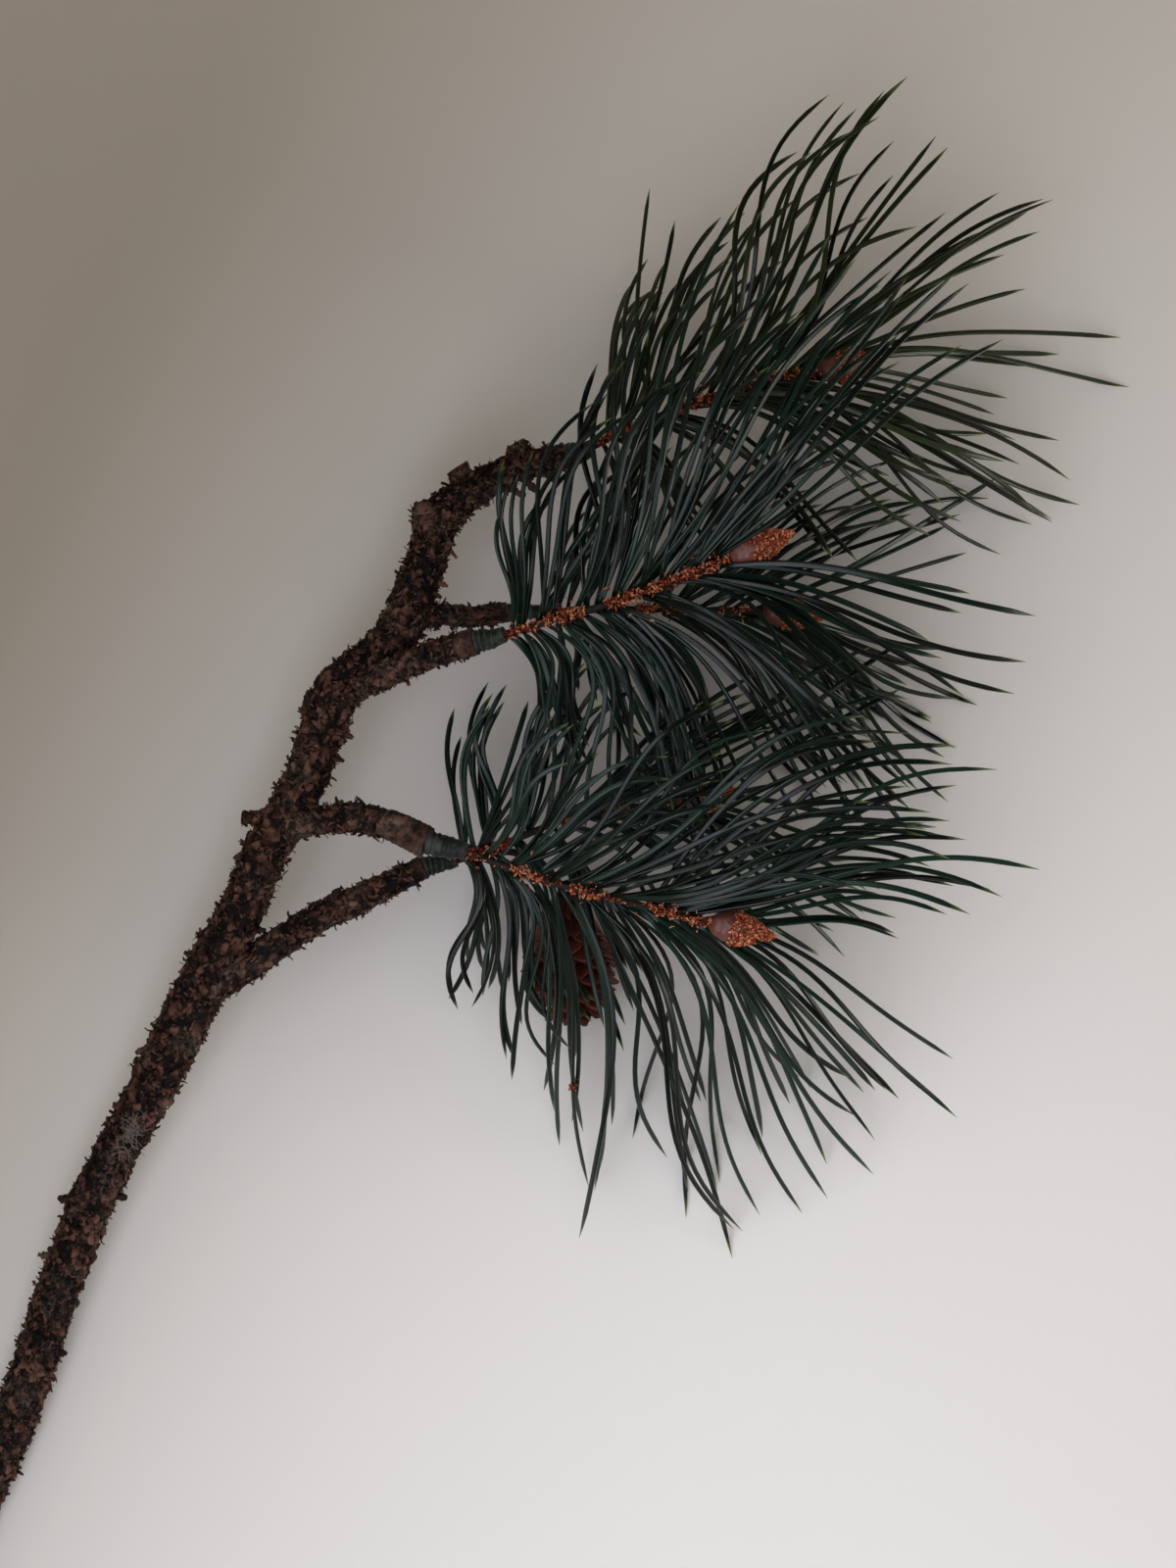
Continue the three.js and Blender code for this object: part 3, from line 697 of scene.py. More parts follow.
def limb_surface(points, sides, step, relief, cells, plate_length, seed, smooth_end=0.0):
    """A rough limb: rings along the curve through its points, each ring's radius being the limb's
    own, less some of the relief, plus lumps, bark plates that lift at one end and have cracks
    between them, and fine roughness. Over smooth_end the plates give way to faint rings.
    Returns rings, relief share and plate tone."""
    length = stretches(np.array(points)).sum()
    curve = smooth_curve(points, max(int(length / step), 8))
    ring = circle(sides)
    count = len(curve)
    along = np.linspace(0, length, count)[:, None] * np.ones(sides)
    around = np.ones((count, 1)) * np.arange(sides) / sides
    smooth = rings_along(curve[:, :3], curve[:, 3:4, None] * ring[None])
    wobble = value_noise(smooth, 9, seed) * 0.7
    u, v = around * cells + wobble * 0.5, along / plate_length + wobble
    edge, tone, place = plates(u, v, cells, seed)
    lean = np.where(hashed(np.floor(tone * 997), 0, seed) > 0.5, 1, -1)
    lifted = np.clip(0.45 + lean * place * 0.9, 0, 1) * (0.35 + 0.65 * tone)
    plate = lifted * np.clip((edge - 0.02) / 0.13, 0, 1)
    if smooth_end:
        bald = np.clip(1.3 - (length - along) / smooth_end, 0, 1)
        plate = plate * (1 - bald) + bald * (0.55 + 0.1 * np.sin(along * FULL_TURN / 1.7))
        tone = tone * (1 - bald) + 0.42 * bald
    lumps = value_noise(smooth, 14, seed + 3) * 0.35
    fine = value_noise(smooth, 1.1, seed + 5) * 0.16 + value_noise(smooth, 2.4, seed + 6) * 0.18
    height = plate + lumps * 0.5 + fine
    grown = curve[:, 3:4] + relief * (height - 0.42)
    return rings_along(curve[:, :3], grown[..., None] * ring[None]), height, tone


def surface_frames(rings):
    """Outward, forward and round directions at each point of a ringed surface."""
    forward = unit(np.gradient(rings, axis=0))
    middle = rings.mean(axis=1, keepdims=True)
    outward = unit(rings - middle)
    outward = unit(outward - forward * (outward * forward).sum(-1, keepdims=True))
    return outward, forward, np.cross(outward, forward)


def flake_sheets(surfaces, counts, flake_length, rng):
    """Curled bark flakes: each a narrow strip of a length and width drawn at random, lying along
    the limb or across it, bent to one side by a parabola, one end on the bark and the other lifted
    by a power curve, with a ragged outline and a thin edge. counts gives each surface's number of
    flakes and how many of its last rings stay bare."""
    a, b = np.meshgrid(np.linspace(-1, 1, FLAKE_ROWS), [-1.0, 1.0], indexing="ij")
    shapes, tones = [], []
    for (rings, _, _), (count, bare) in zip(surfaces, counts):
        outward, forward, round_ = surface_frames(rings)
        i = rng.integers(2, len(rings) - bare, count)
        j = rng.integers(0, rings.shape[1], count)
        at, n, f, r = rings[i, j], outward[i, j], forward[i, j], round_[i, j]
        yaw = rng.normal(0, 0.8, count) + np.where(rng.random(count) < 0.5, math.pi, 0)
        along = f * np.cos(yaw)[:, None] + r * np.sin(yaw)[:, None]
        across = np.cross(n, along)
        length = flake_length * rng.uniform(0.45, 1.6, count)
        width = rng.uniform(0.5, 1.5, count)
        lift = rng.gamma(1.3, 0.6, count).clip(0.1, 2.4)
        bend = rng.normal(0, 0.5, count)
        ragged = rng.normal(0, 0.16, (2, count, FLAKE_ROWS, 2))
        aa = a[None] + ragged[0] * 0.5
        bb = b[None] * (1 - 0.3 * a[None] ** 2) + ragged[1]
        share = np.clip((aa + 1) / 2, 0, 2)
        rise = lift[:, None, None] * share**1.7 - 0.22 - 0.16 * bb * bend[:, None, None]
        curled = aa * length[:, None, None] / 2 - lift[:, None, None] * 0.6 * share**3
        sideways = bb * width[:, None, None] / 2 + bend[:, None, None] * aa**2
        sheet = (
            at[:, None, None]
            + along[:, None, None] * curled[..., None]
            + across[:, None, None] * sideways[..., None]
            + n[:, None, None] * rise[..., None]
        )
        thick = rng.uniform(0.12, 0.35, count)[:, None, None, None] * n[:, None, None]
        faces = np.stack([sheet + thick / 2, sheet - thick / 2], axis=1)
        shapes.append(faces.reshape(count, -1, 3))
        tones.append(rng.random(count))
    return np.concatenate(shapes), np.concatenate(tones)


def sheet_faces(count, rows, columns):
    """Faces of thin closed sheets: a grid above, the same grid below and a rim between them."""
    under = rows * columns
    i, j = np.meshgrid(np.arange(rows - 1), np.arange(columns - 1), indexing="ij")
    corner = (i * columns + j).ravel()
    top = np.stack([corner, corner + columns, corner + columns + 1, corner + 1], axis=1)
    down, right = np.arange(rows - 1) * columns, np.arange(columns - 1)
    last = (rows - 1) * columns
    rim = np.concatenate([right, down + columns - 1, last + columns - 1 - right, last - down])
    after = np.roll(rim, -1)
    wall = np.stack([rim, after, after + under, rim + under], axis=1)
    quads = np.concatenate([top, top[:, ::-1] + under, wall])
    step = (np.arange(count) * 2 * under)[:, None, None]
    return (quads[None] + step).reshape(-1, 4)


def knob_points(knob):
    """The stub's curve from inside the wood to just past its end."""
    x, y, z, radius, reach, heading = knob
    turn = math.radians(heading)
    return [
        (x + math.cos(turn) * reach * s, y + math.sin(turn) * reach * s, z, radius * (1 - 0.12 * s))
        for s in (0, 0.5, 1)
    ]


def make_wood(context):
    """The stem, side branches and knobs, each a rough limb around its own curve."""
    relief = size_mm(context, "bark_relief")
    material = bark_material(palette(context))
    stem = limb_surface(
        STEM, sides=92, step=0.52, relief=relief, cells=19, plate_length=3.4, seed=11
    )
    pieces = [("stem", stem, ["stem_lower", "stem_middle", "stem_upper", "leader"])]
    branches = []
    for number, (name, points) in enumerate(SIDE_BRANCHES.items()):
        limb = limb_surface(
            points,
            sides=60,
            step=0.5,
            relief=relief * 0.62,
            cells=11,
            plate_length=3.0,
            seed=20 + number,
            smooth_end=12 if name == "side_branch_2" else 5,
        )
        branches.append(limb)
        pieces.append((f"{name}_bark", limb, [name]))
    knobs = [
        limb_surface(
            knob_points(knob),
            sides=40,
            step=0.5,
            relief=relief * 0.5,
            cells=5,
            plate_length=4.5,
            seed=40 + i,
        )
        for i, knob in enumerate(KNOBS)
    ]
    pieces += [(f"pruned_knob_{i + 1}", knob, ()) for i, knob in enumerate(knobs)]
    for name, (rings, height, tone), nodes in pieces:
        finish_piece(put_limb(name, rings, relief=height, tone=tone), material, nodes)
    rng = np.random.default_rng(5)
    branch_counts = [(700, 8), (300, 26), (380, 10), (330, 8)] + [(90, 2)] * len(knobs)
    flaking = {
        "bark_flakes_stem": ([stem], [(STEM_FLAKES, 2)]),
        "bark_flakes_branches": (branches + knobs, branch_counts),
    }
    for name, (limbs, counts) in flaking.items():
        sheets, tones = flake_sheets(limbs, counts, size_mm(context, "flake_length"), rng)
        # Relief rising from each flake's root to its lifted end, read by the bark material for
        # painted shade at the root and a painted highlight at the end.
        lifted = np.tile(np.repeat(np.linspace(0.1, 0.8, FLAKE_ROWS), 2), 2 * len(tones))
        values = {"tone": np.repeat(tones, sheets.shape[1]), "relief": lifted}
        faces = sheet_faces(len(sheets), FLAKE_ROWS, 2)
        flakes = put_mesh(name, sheets.reshape(-1, 3), faces, None, values)
        finish_piece(flakes, material)
    make_chips(material)
    make_cobweb()


def make_chips(material):
    """Larger splinters that stand off the bark: flat blades, bent, tapering to ragged points."""
    chips = np.array(CHIPS, float)
    rng = np.random.default_rng(8)
    turn = np.radians(chips[:, 3])
    heading = np.stack([np.cos(turn), np.sin(turn), rng.uniform(-0.3, 0.5, len(chips))], axis=1)
    bent = np.stack([-np.sin(turn), np.cos(turn), rng.uniform(0, 1, len(chips))], axis=1)
    s = np.linspace(0, 1, CHIP_POINTS)
    curl = rng.normal(0, 0.18, len(chips)) * chips[:, 4]
    path = (
        chips[:, None, :3]
        + heading[:, None] * (s * 0.8 * chips[:, 4:5])[..., None]
        + bent[:, None] * (s**2 * curl[:, None])[..., None]
    )
    round_ = np.arange(6) / 6 * FULL_TURN
    flat = np.stack([np.cos(round_) * 0.5, np.sin(round_) * 0.2], axis=1)
    ragged = (1 - 0.55 * s**3)[None] * (1 + rng.normal(0, 0.2, (len(chips), len(s))))
    size = ragged * chips[:, 5:6]
    rings = rings_along(path, flat[None, None] * size[..., None, None])
    # A middle relief, so splinters get no painted shade and only a faint painted highlight.
    values = {"tone": rng.random(len(chips)), "relief": np.full(len(chips), 0.5)}
    piece = put_tubes("bark_splinters", rings, values)
    finish_piece(piece, material)


def make_cobweb():
    """Grey cobweb caught on the stem: thin threads arched over the bark."""
    rng = np.random.default_rng(12)
    count = COBWEB_THREADS
    middle = COBWEB_MIDDLE + rng.normal(0, 1, (count, 3)) * [3.0, 1.4, 0.2]
    turn = rng.uniform(0, math.pi, count)
    along = np.stack([np.cos(turn), np.sin(turn), rng.normal(0.05, 0.1, count)], axis=1)
    across = np.stack([-np.sin(turn), np.cos(turn), np.zeros(count)], axis=1)
    s = np.linspace(-1, 1, THREAD_POINTS)
    reach = rng.uniform(1.2, 4.0, count)
    path = (
        middle[:, None]
        + along[:, None] * (s * reach[:, None])[..., None]
        + across[:, None] * (s**2 * rng.normal(0, 1.3, count)[:, None])[..., None]
        + UP * ((0.9 - s**2 * 1.3)[None] * np.ones((count, 1)))[..., None]
    )
    turn = np.arange(4) / 4 * FULL_TURN
    ring = np.stack([np.cos(turn), np.sin(turn)], axis=1) * 0.07
    piece = put_tubes("cobweb_wisp", rings_along(path, ring[None, None]))
    finish_piece(piece, plain_material("dusty_grey_cobweb", "#9b9894", 0.9))


def needle_paths(spray, side, context, rng):
    """Centre lines of one side's needles. Bundles stand at even places along the guides, and the
    needles of a bundle share a root and fan out. A line runs from root to tip, bowed to the left
    of its travel by a parabola and waved by one turn of a sine, so that it leaves the twig turned
    forwards, swings outwards and turns forwards again. None goes under the floor."""
    guides = np.array(spray[side], float)
    bundles = round(context.scene.branch_sizes.bundles * spray["fullness"])
    twig = smooth_curve(spray["twig"], TWIG_POINTS)
    chord = twig[-1] - twig[0]
    axis = math.atan2(chord[1], chord[0])
    sign = 1 if side == "left" else -1
    place = np.linspace(0, len(guides) - 1, bundles) + rng.normal(0, 0.22, bundles)
    place = place.clip(0, len(guides) - 1)
    station, heading, reach, height = (
        np.interp(place, np.arange(len(guides)), guides[:, k]) for k in range(4)
    )
    reach = reach * np.interp(station, [0.55, 0.95], [1.0, 1.14])
    size = rng.choice([2, 3, 3, 4], bundles)
    tilt = rng.uniform(-1, 1, bundles)
    heading = heading + rng.normal(0, 9.0, bundles)
    heading = np.where(np.abs(heading) < 13, 13 * sign, heading)
    tilt = np.where(station > 0.8, -np.abs(tilt) * 0.7, tilt)
    reach = reach * rng.uniform(0.86, 1.08, bundles) * (1 - 0.1 * np.abs(tilt))
    fan = rng.uniform(2.0, 8.0, bundles)
    which = np.repeat(np.arange(bundles), size)
    order = np.concatenate([rng.permutation(n) - (n - 1) / 2 for n in size])
    rank = np.concatenate([np.arange(n) for n in size])
    count = len(which)
    station = (station[which] + rng.normal(0, 0.006, count)).clip(0.01, 0.99)
    heading = np.radians(heading[which] + order * fan[which] + rng.normal(0, 1.2, count))
    reach = reach[which] * np.where(rank == 0, 1.0, rng.uniform(0.74, 1.02, count))
    spread = size_mm(context, "tilt")
    height = height[which] + tilt[which] * spread + rng.normal(0, 3.0, count)
    root = points_at(twig, station)
    beside = np.array([-math.sin(axis), math.cos(axis), 0]) * sign
    root = root + beside * rng.uniform(-0.2, 1.3, count)[:, None]
    root[:, 2] += tilt[which] * 1.2 - 0.5
    turn = axis + heading
    forward = np.stack([np.cos(turn), np.sin(turn), np.zeros(count)], axis=1)
    left = np.stack([-forward[:, 1], forward[:, 0], np.zeros(count)], axis=1)
    tip = root + forward * reach[:, None]
    tip[:, 2] = height
    share = np.abs(np.sin(heading)) * 0.75 + 0.25
    bow = rng.normal(0.06 if side == "left" else 0.075, 0.045, bundles)[which]
    bow = (bow + rng.normal(0, 0.012, count)) * share
    wave = rng.normal(0.035, 0.022, bundles)[which]
    wave = (wave + rng.normal(0, 0.006, count)) * share * -sign
    rise = 0.09 + 0.08 * tilt[which] + rng.normal(0, 0.02, count)
    t = (np.linspace(0, 1, NEEDLE_POINTS) ** 0.92)[None, :]
    arch = 4 * t * (1 - t)
    sideways = (arch * bow[:, None] + np.sin(FULL_TURN * t) * wave[:, None]) * reach[:, None]
    upward = arch * (rise * reach)[:, None]
    path = (
        root[:, None]
        + (tip - root)[:, None] * t[..., None]
        + left[:, None] * sideways[..., None]
        + UP * upward[..., None]
    )
    over = path[..., 2] - NEEDLE_FLOOR
    path[..., 2] = 0.5 * (path[..., 2] + NEEDLE_FLOOR + np.sqrt(over**2 + 1.0))
    path[..., 2] = np.minimum(path[..., 2], NEEDLE_CEILING)
    return path


def needle_rings(paths, width, thickness, rng):
    """A flattened section with a groove along both faces, turned as it is carried along each path,
    narrow at its root, full for most of its length and drawn to a point over the last tenth."""
    count, rings, _ = paths.shape
    turn = np.arange(NEEDLE_SIDES) / NEEDLE_SIDES * FULL_TURN
    groove = 1 - 0.5 * np.exp(-((np.cos(turn) / 0.3) ** 2))
    x, y = np.cos(turn) * width / 2, np.sin(turn) * groove * thickness / 2
    along = np.linspace(0, 1, rings)
    root = np.minimum(1, 0.6 + along / 0.15 * 0.4)
    full = root * np.minimum(1, ((1 - along) / 0.1 + 1e-3) ** 0.7)
    size = full[None] * rng.uniform(0.84, 1.1, count)[:, None]
    roll = rng.normal(0, 0.5, count)[:, None]
    roll = roll + along[None] * rng.normal(0, 0.5, count)[:, None]
    cos, sin = np.cos(roll)[..., None], np.sin(roll)[..., None]
    outline = np.stack([x * cos - y * sin, x * sin + y * cos], axis=-1)
    return rings_along(paths, outline * size[..., None, None])


def make_needles(context):
    """Every spray's needles, one piece for each side of each twig."""
    look = palette(context)
    green = needle_material("moulded_blue_green_needles", look.needle, look.needle_light, look.tip)
    olive = needle_material(
        "moulded_olive_needles", look.top_needle, look.top_needle_light, look.tip
    )
    width, thickness = size_mm(context, "needle_width"), size_mm(context, "needle_thickness")
    for number, (name, spray) in enumerate(SPRAYS.items()):
        material, slot = (olive, "top_needles") if name == "top" else (green, "needles")
        for side in ("left", "right"):
            rng = np.random.default_rng(100 + number * 2 + (side == "right"))
            paths = needle_paths(spray, side, context, rng)
            if (name, side) == STRAY_SPRAY:
                make_stray_speck(context, paths)
            rings = needle_rings(paths, width, thickness, rng)
            tones = {"tone": rng.random(len(paths))}
            piece = put_tubes(f"needle_spray_{name}_{side}", rings, tones)
            nodes = [f"needles_{name}_{side}_{i}" for i in (1, 2, 3)]
            finish_piece(piece, material, nodes)


def grains(places, outward, grain_length, rng):
    """Grains of flock: each a bent three-sided rod, laid at a slant on the surface under it."""
    count = len(places)
    length = grain_length * rng.uniform(0.5, 1.3, count)
    lean = unit(rng.normal(0, 1, (count, 3)) + outward * rng.uniform(0, 1.3, count)[:, None])
    bent = unit(rng.normal(0, 1, (count, 3)))
    t = np.linspace(-0.5, 0.5, 3)
    path = (
        places[:, None]
        + lean[:, None] * (t * length[:, None])[..., None]
        + bent[:, None] * ((0.25 - t**2) * length[:, None] * 0.8)[..., None]
    )
    turn = np.arange(3) / 3 * FULL_TURN
    thick = rng.uniform(0.2, 0.36, count)[:, None] * np.array([0.7, 1.0, 0.7])
    outline = np.stack([np.cos(turn), np.sin(turn)], axis=1)[None, None] * thick[..., None, None]
    return rings_along(path, outline)


def make_stray_speck(context, paths):
    """A small clump of flock stuck on a needle near a given place, the higher needles first."""
    rng = np.random.default_rng(77)
    outer = paths[:, 11:20]
    distance = np.hypot(outer[..., 0] - STRAY_SPECK[0], outer[..., 1] - STRAY_SPECK[1])
    nearest = (distance - 0.15 * outer[..., 2]).argmin()
    place = outer.reshape(-1, 3)[nearest] + [0, 0, 1.1]
    spots = place + rng.normal(0, 0.8, (SPECK_GRAINS, 3)) * [1, 1, 0.4]
    upwards = np.broadcast_to(UP, spots.shape)
    rods = grains(spots, upwards, size_mm(context, "grain_length") * 0.8, rng)
    piece = put_tubes("stray_flock", rods, {"tone": rng.random(SPECK_GRAINS)})
    finish_piece(piece, shared_flock(context))


def make_twigs(context):
    """Twig cores with their line of flock, thickest on the top, and stray grains beside it."""
    flock = shared_flock(context)
    core_material = plain_material("glued_twig_core", "#2a2420", 0.8)
    swell = 1.05 + 0.12 * np.sin(np.linspace(0, 40, TWIG_POINTS))
    outline = swell[:, None, None] * circle(TWIG_SIDES)[None]
    for number, (name, spray) in enumerate(SPRAYS.items()):
        rng = np.random.default_rng(200 + number)
        twig = smooth_curve(spray["twig"], TWIG_POINTS)
        core = put_limb(f"twig_core_{name}", rings_along(twig, outline))
        finish_piece(core, core_material, [f"twig_{name}"])
        count = TWIG_GRAINS
        station = rng.random(count)
        at = points_at(twig, station)
        _, side, up = path_frames(twig)
        row = (station * (TWIG_POINTS - 1)).astype(int)
        angle = rng.normal(math.pi / 2, 0.75, count)
        angle = np.where(rng.random(count) < 0.2, -angle, angle)
        outward = side[row] * np.cos(angle)[:, None] + up[row] * np.sin(angle)[:, None]
        clumps = value_noise(at, 4.5, 7)
        reach = 1.0 + rng.uniform(0, 0.9, count) + 0.7 * clumps
        stray = rng.random(count) < 0.1
        reach = np.where(stray, reach + rng.gamma(1.5, 1.6, count), reach)
        kept = clumps + rng.normal(0, 0.15, count) > -0.12
        places = (at + outward * reach[:, None])[kept]
        rods = grains(places, outward[kept], size_mm(context, "grain_length"), rng)
        piece = put_tubes(f"flock_{name}", rods, {"tone": rng.random(len(rods))})
        finish_piece(piece, flock)


def make_collars(context):
    """Collars between wood and twig: a socket with raised rings at its wood end and a wrinkled
    neck that tapers onto the twig."""
    material = collar_material(palette(context))
    s = np.linspace(0, 1, COLLAR_RINGS)
    raised = ((0.1, 0.05, 0.35), (0.27, 0.035, 0.5), (0.42, 0.05, 0.25), (0.6, 0.04, 0.3))
    ridges = sum(high * np.exp(-(((s - at) / wide) ** 2)) for at, wide, high in raised)
    ring = circle(COLLAR_SIDES)
    for number, (name, spray) in enumerate(SPRAYS.items()):
        wood = SIDE_BRANCHES.get(spray["grown_from"], STEM)
        back, start = (np.array(point[:3], float) for point in wood[-2:])
        finish, onward = (np.array(point, float) for point in spray["twig"][:2])
        lead = unit(start - back)
        bend = start + (finish - start) * 0.5 + lead * 0.6
        points = [start - lead * 0.6, bend, finish, finish + unit(onward - finish) * 2.5]
        curve = smooth_curve(points, COLLAR_RINGS)
        girth = wood[-1][3] / 4.2
        radius = (3.5 - 1.1 * s**1.6) * min(girth, 1.0) + ridges
        smooth = rings_along(curve, radius[:, None, None] * ring[None])
        rough = 0.3 * value_noise(smooth, 1.3, 60 + number)
        rough = rough + 0.35 * value_noise(smooth, 3.0, 61 + number)
        rings = rings_along(curve, (radius[:, None] + rough)[..., None] * ring[None])
        piece = put_limb(f"collar_{name}_ringed", rings, relief=ridges[:, None] + rough)
        finish_piece(piece, material, [f"collar_{name}"])


def make_buds(context):
    """Buds: a body of overlapping scales, swollen past its base and drawn to a point, with flock
    from a third of its length to the tip and a ragged crown."""
    material = bud_material(palette(context))
    flock = shared_flock(context)
    length, radius = size_mm(context, "bud_length"), size_mm(context, "bud_radius")
    grain_length = size_mm(context, "grain_length")
    s = np.linspace(0, 1, BUD_ROWS)
    stations = [0, 0.04, 0.12, 0.25, 0.45, 0.7, 0.88, 1]
    profile = np.interp(s, stations, [0.3, 0.5, 0.74, 0.96, 1, 0.68, 0.32, 0.06])[:, None]
    u = np.arange(BUD_SIDES)[None] / BUD_SIDES * 7 + np.floor(s[:, None] * 5) * 0.5
    scale = np.abs(np.mod(u, 1) - 0.5) * 2
    overlap = (1 - np.mod(s[:, None] * 5 - 0.5 * scale**2, 1)) * 0.16 * (s[:, None] > 0.08)
    outline = ((profile * radius - 0.25) + overlap * 1.6)[..., None] * circle(BUD_SIDES)[None]
    flock_from = 0.34
    for number, (name, spray) in enumerate(SPRAYS.items()):
        rng = np.random.default_rng(300 + number)
        start = np.array(spray["twig"][-1], float)
        lead = unit(np.array(spray["bud"], float) - start)
        rings = rings_along(start + lead * (s * length)[:, None], outline)
        piece = put_limb(f"bud_body_{name}", rings, relief=overlap * 3)
        finish_piece(piece, material, [f"bud_{name}"])
        row = rng.beta(1.1, 1.25, BUD_GRAINS) * (1 - flock_from) + flock_from
        row = (row * (BUD_ROWS - 2)).astype(int)
        column = rng.integers(0, BUD_SIDES, BUD_GRAINS)
        kept = np.abs(value_noise(rings[row, column], 4.0, 9)) < 0.75
        i, j = row[kept], column[kept]
        outward = surface_frames(rings)[0][i, j]
        raised = rng.uniform(0.1, 0.6, len(i))[:, None]
        rods = grains(rings[i, j] + outward * raised, outward, grain_length * 0.9, rng)
        crown = unit(rng.normal(0, 1, (CROWN_GRAINS, 3)) + lead * 2.2)
        up_lead = (length * rng.uniform(0.8, 1.0, CROWN_GRAINS))[:, None]
        spikes = grains(start + lead * up_lead + crown * 0.7, crown * 3, grain_length * 1.5, rng)
        rods = np.concatenate([rods, spikes])
        # The tones lean high, so more of the bud's grains take the painted highlight.
        tips = put_tubes(f"bud_flock_{name}", rods, {"tone": 0.2 + 0.8 * rng.random(len(rods))})
        finish_piece(tips, flock)


def make_cone(context):
    """The cone: a core with scales set round it at the golden angle. A scale is a spoon-shaped
    sheet whose width swells then rounds off, bent outwards at its end, with a raised ridge."""
    material = cone_material(palette(context))
    length, radius = size_mm(context, "cone_length"), size_mm(context, "cone_radius")
    lead = unit(CONE_HEADING)
    side = unit(np.cross(lead, UP))
    up = np.cross(side, lead)
    k = np.arange(CONE_SCALES)
    t = (k + 0.5) / CONE_SCALES
    turn = k * GOLDEN_ANGLE
    girth = np.interp(t, [0, 0.12, 0.35, 0.6, 0.85, 1], [0.5, 0.8, 1, 0.95, 0.72, 0.42]) * radius
    from_root, from_middle = np.linspace(0, 1, SCALE_POINTS), np.linspace(-1, 1, SCALE_POINTS)
    a, b = np.meshgrid(from_root, from_middle, indexing="ij")
    out = np.cos(turn)[:, None] * side + np.sin(turn)[:, None] * up
    across = np.cross(lead, out)
    foot = CONE_START + lead * (t * (length - 13))[:, None]
    reach = 13.5 - 3 * t
    splay = np.interp(t, [0, 0.5, 1], [0.95, 0.72, 0.3])
    width = np.interp(t, [0, 0.4, 1], [5.0, 5.6, 3.2])
    w = np.sin(a**0.8 * math.pi * 0.86 + 0.12) ** 0.7
    w = np.where(a > 0.999, 0.18, w)
    forward = a * reach[:, None, None] * np.cos(splay * 0.7)[:, None, None]
    outward = a**0.75 * (girth - 2.2)[:, None, None] + 2.0
    outward = outward + (1 - b**2) * 0.9 * a**2 - 0.5 * (1 - a)
    ridge = 0.5 * np.exp(-((b / 0.22) ** 2)) * a
    sheet = (
        foot[:, None, None]
        + lead * forward[..., None]
        + out[:, None, None] * (outward + ridge[None])[..., None]
        + across[:, None, None] * (b * w * width[:, None, None])[..., None]
    )
    thick = (0.5 + 0.7 * a)[None, ..., None] * (out * 0.8 - lead * 0.6)[:, None, None] * 0.9
    shapes = np.stack([sheet, sheet - thick], axis=1).reshape(-1, 3)
    shapes[:, 2] = np.maximum(shapes[:, 2], 0.15)
    tones = np.repeat(np.random.default_rng(400).random(CONE_SCALES), 2 * SCALE_POINTS**2)
    # Relief for the cone material: rising towards each scale's end and sides and halved on the
    # underside, for painted shade at roots and undersides and a painted highlight at the ends.
    edge = np.tile(np.stack([a + 0.3 * np.abs(b), a * 0.5]).ravel(), CONE_SCALES)
    faces = sheet_faces(CONE_SCALES, SCALE_POINTS, SCALE_POINTS)
    scales = put_mesh("cone_scales", shapes, faces, None, {"relief": edge, "tone": tones})
    finish_piece(scales, material, ["cone"])
    ring = circle(CORE_SIDES)[None]
    core_points = [CONE_START + lead * distance for distance in (0, length * 0.45, length - 8)]
    core_path = smooth_curve(core_points, CORE_RINGS)
    core_size = np.interp(np.linspace(0, 1, CORE_RINGS), [0, 0.3, 1], [3.2, 5.0, 2.2])
    core = put_limb("cone_core", rings_along(core_path, core_size[:, None, None] * ring))
    finish_piece(core, material)
    wire_path = smooth_curve([*STALK, tuple(CONE_START + lead * 2)], WIRE_RINGS)
    wire_size = 1.15 + 0.08 * np.sin(np.linspace(0, 60, WIRE_RINGS))
    wire = put_limb("cone_stalk_wire", rings_along(wire_path, wire_size[:, None, None] * ring))
    finish_piece(wire, plain_material("taped_wire_stalk", "#3b2a22", 0.75), ["cone_stalk"])


def make_floor(colours):
    """A pale floor that turns up into a wall all round along a quarter circle."""
    bend = np.linspace(0.1, 1, 10) * math.pi / 2
    radius = np.concatenate([np.linspace(0.0, 2.2, 12)[1:], 2.2 + 0.9 * np.sin(bend), [3.1]])
    height = np.concatenate([np.zeros(11), 0.9 * (1 - np.cos(bend)), [2.6]])
    turn = np.arange(FLOOR_SIDES) / FLOOR_SIDES * FULL_TURN
    across = radius[:, None]
    points = [across * np.cos(turn), across * np.sin(turn), height[:, None] + 0 * turn]
    points = np.stack(points, axis=-1).reshape(-1, 3)
    quads, fans = tube_faces(1, len(radius), FLOOR_SIDES)
    vertices = np.vstack([points, [[0, 0, 0]]]) / MM - SHIFT
    floor = put_mesh("floor", vertices, quads, fans[:FLOOR_SIDES])
    material, tree = new_material("painted_plaster_floor")
    pale = colours.floor
    colour = blend_colours(tree, noise(tree, 220, 2.0), shade(pale, 0.96), pale)
    finish_material(material, colour, 0.85, noise(tree, 2.5, 3.0), 0.12, 0.2)
    floor.data.materials.append(material)


def add_lamp(context, name, at, target, width, power, spread, tint):
    """A square lamp at a place, turned towards its target."""
    lamp = bpy.data.lights.new(name, "AREA")
    lamp.shape = "SQUARE"
    lamp.size = width
    lamp.energy = power
    lamp.spread = math.radians(spread)
    lamp.color = linear(tint)
    holder = bpy.data.objects.new(name, lamp)
    x, y, z = target - at
    holder.location = at
    holder.rotation_euler = (math.atan2(math.hypot(x, y), -z), 0, math.atan2(y, x) - math.pi / 2)
    context.scene.collection.objects.link(holder)


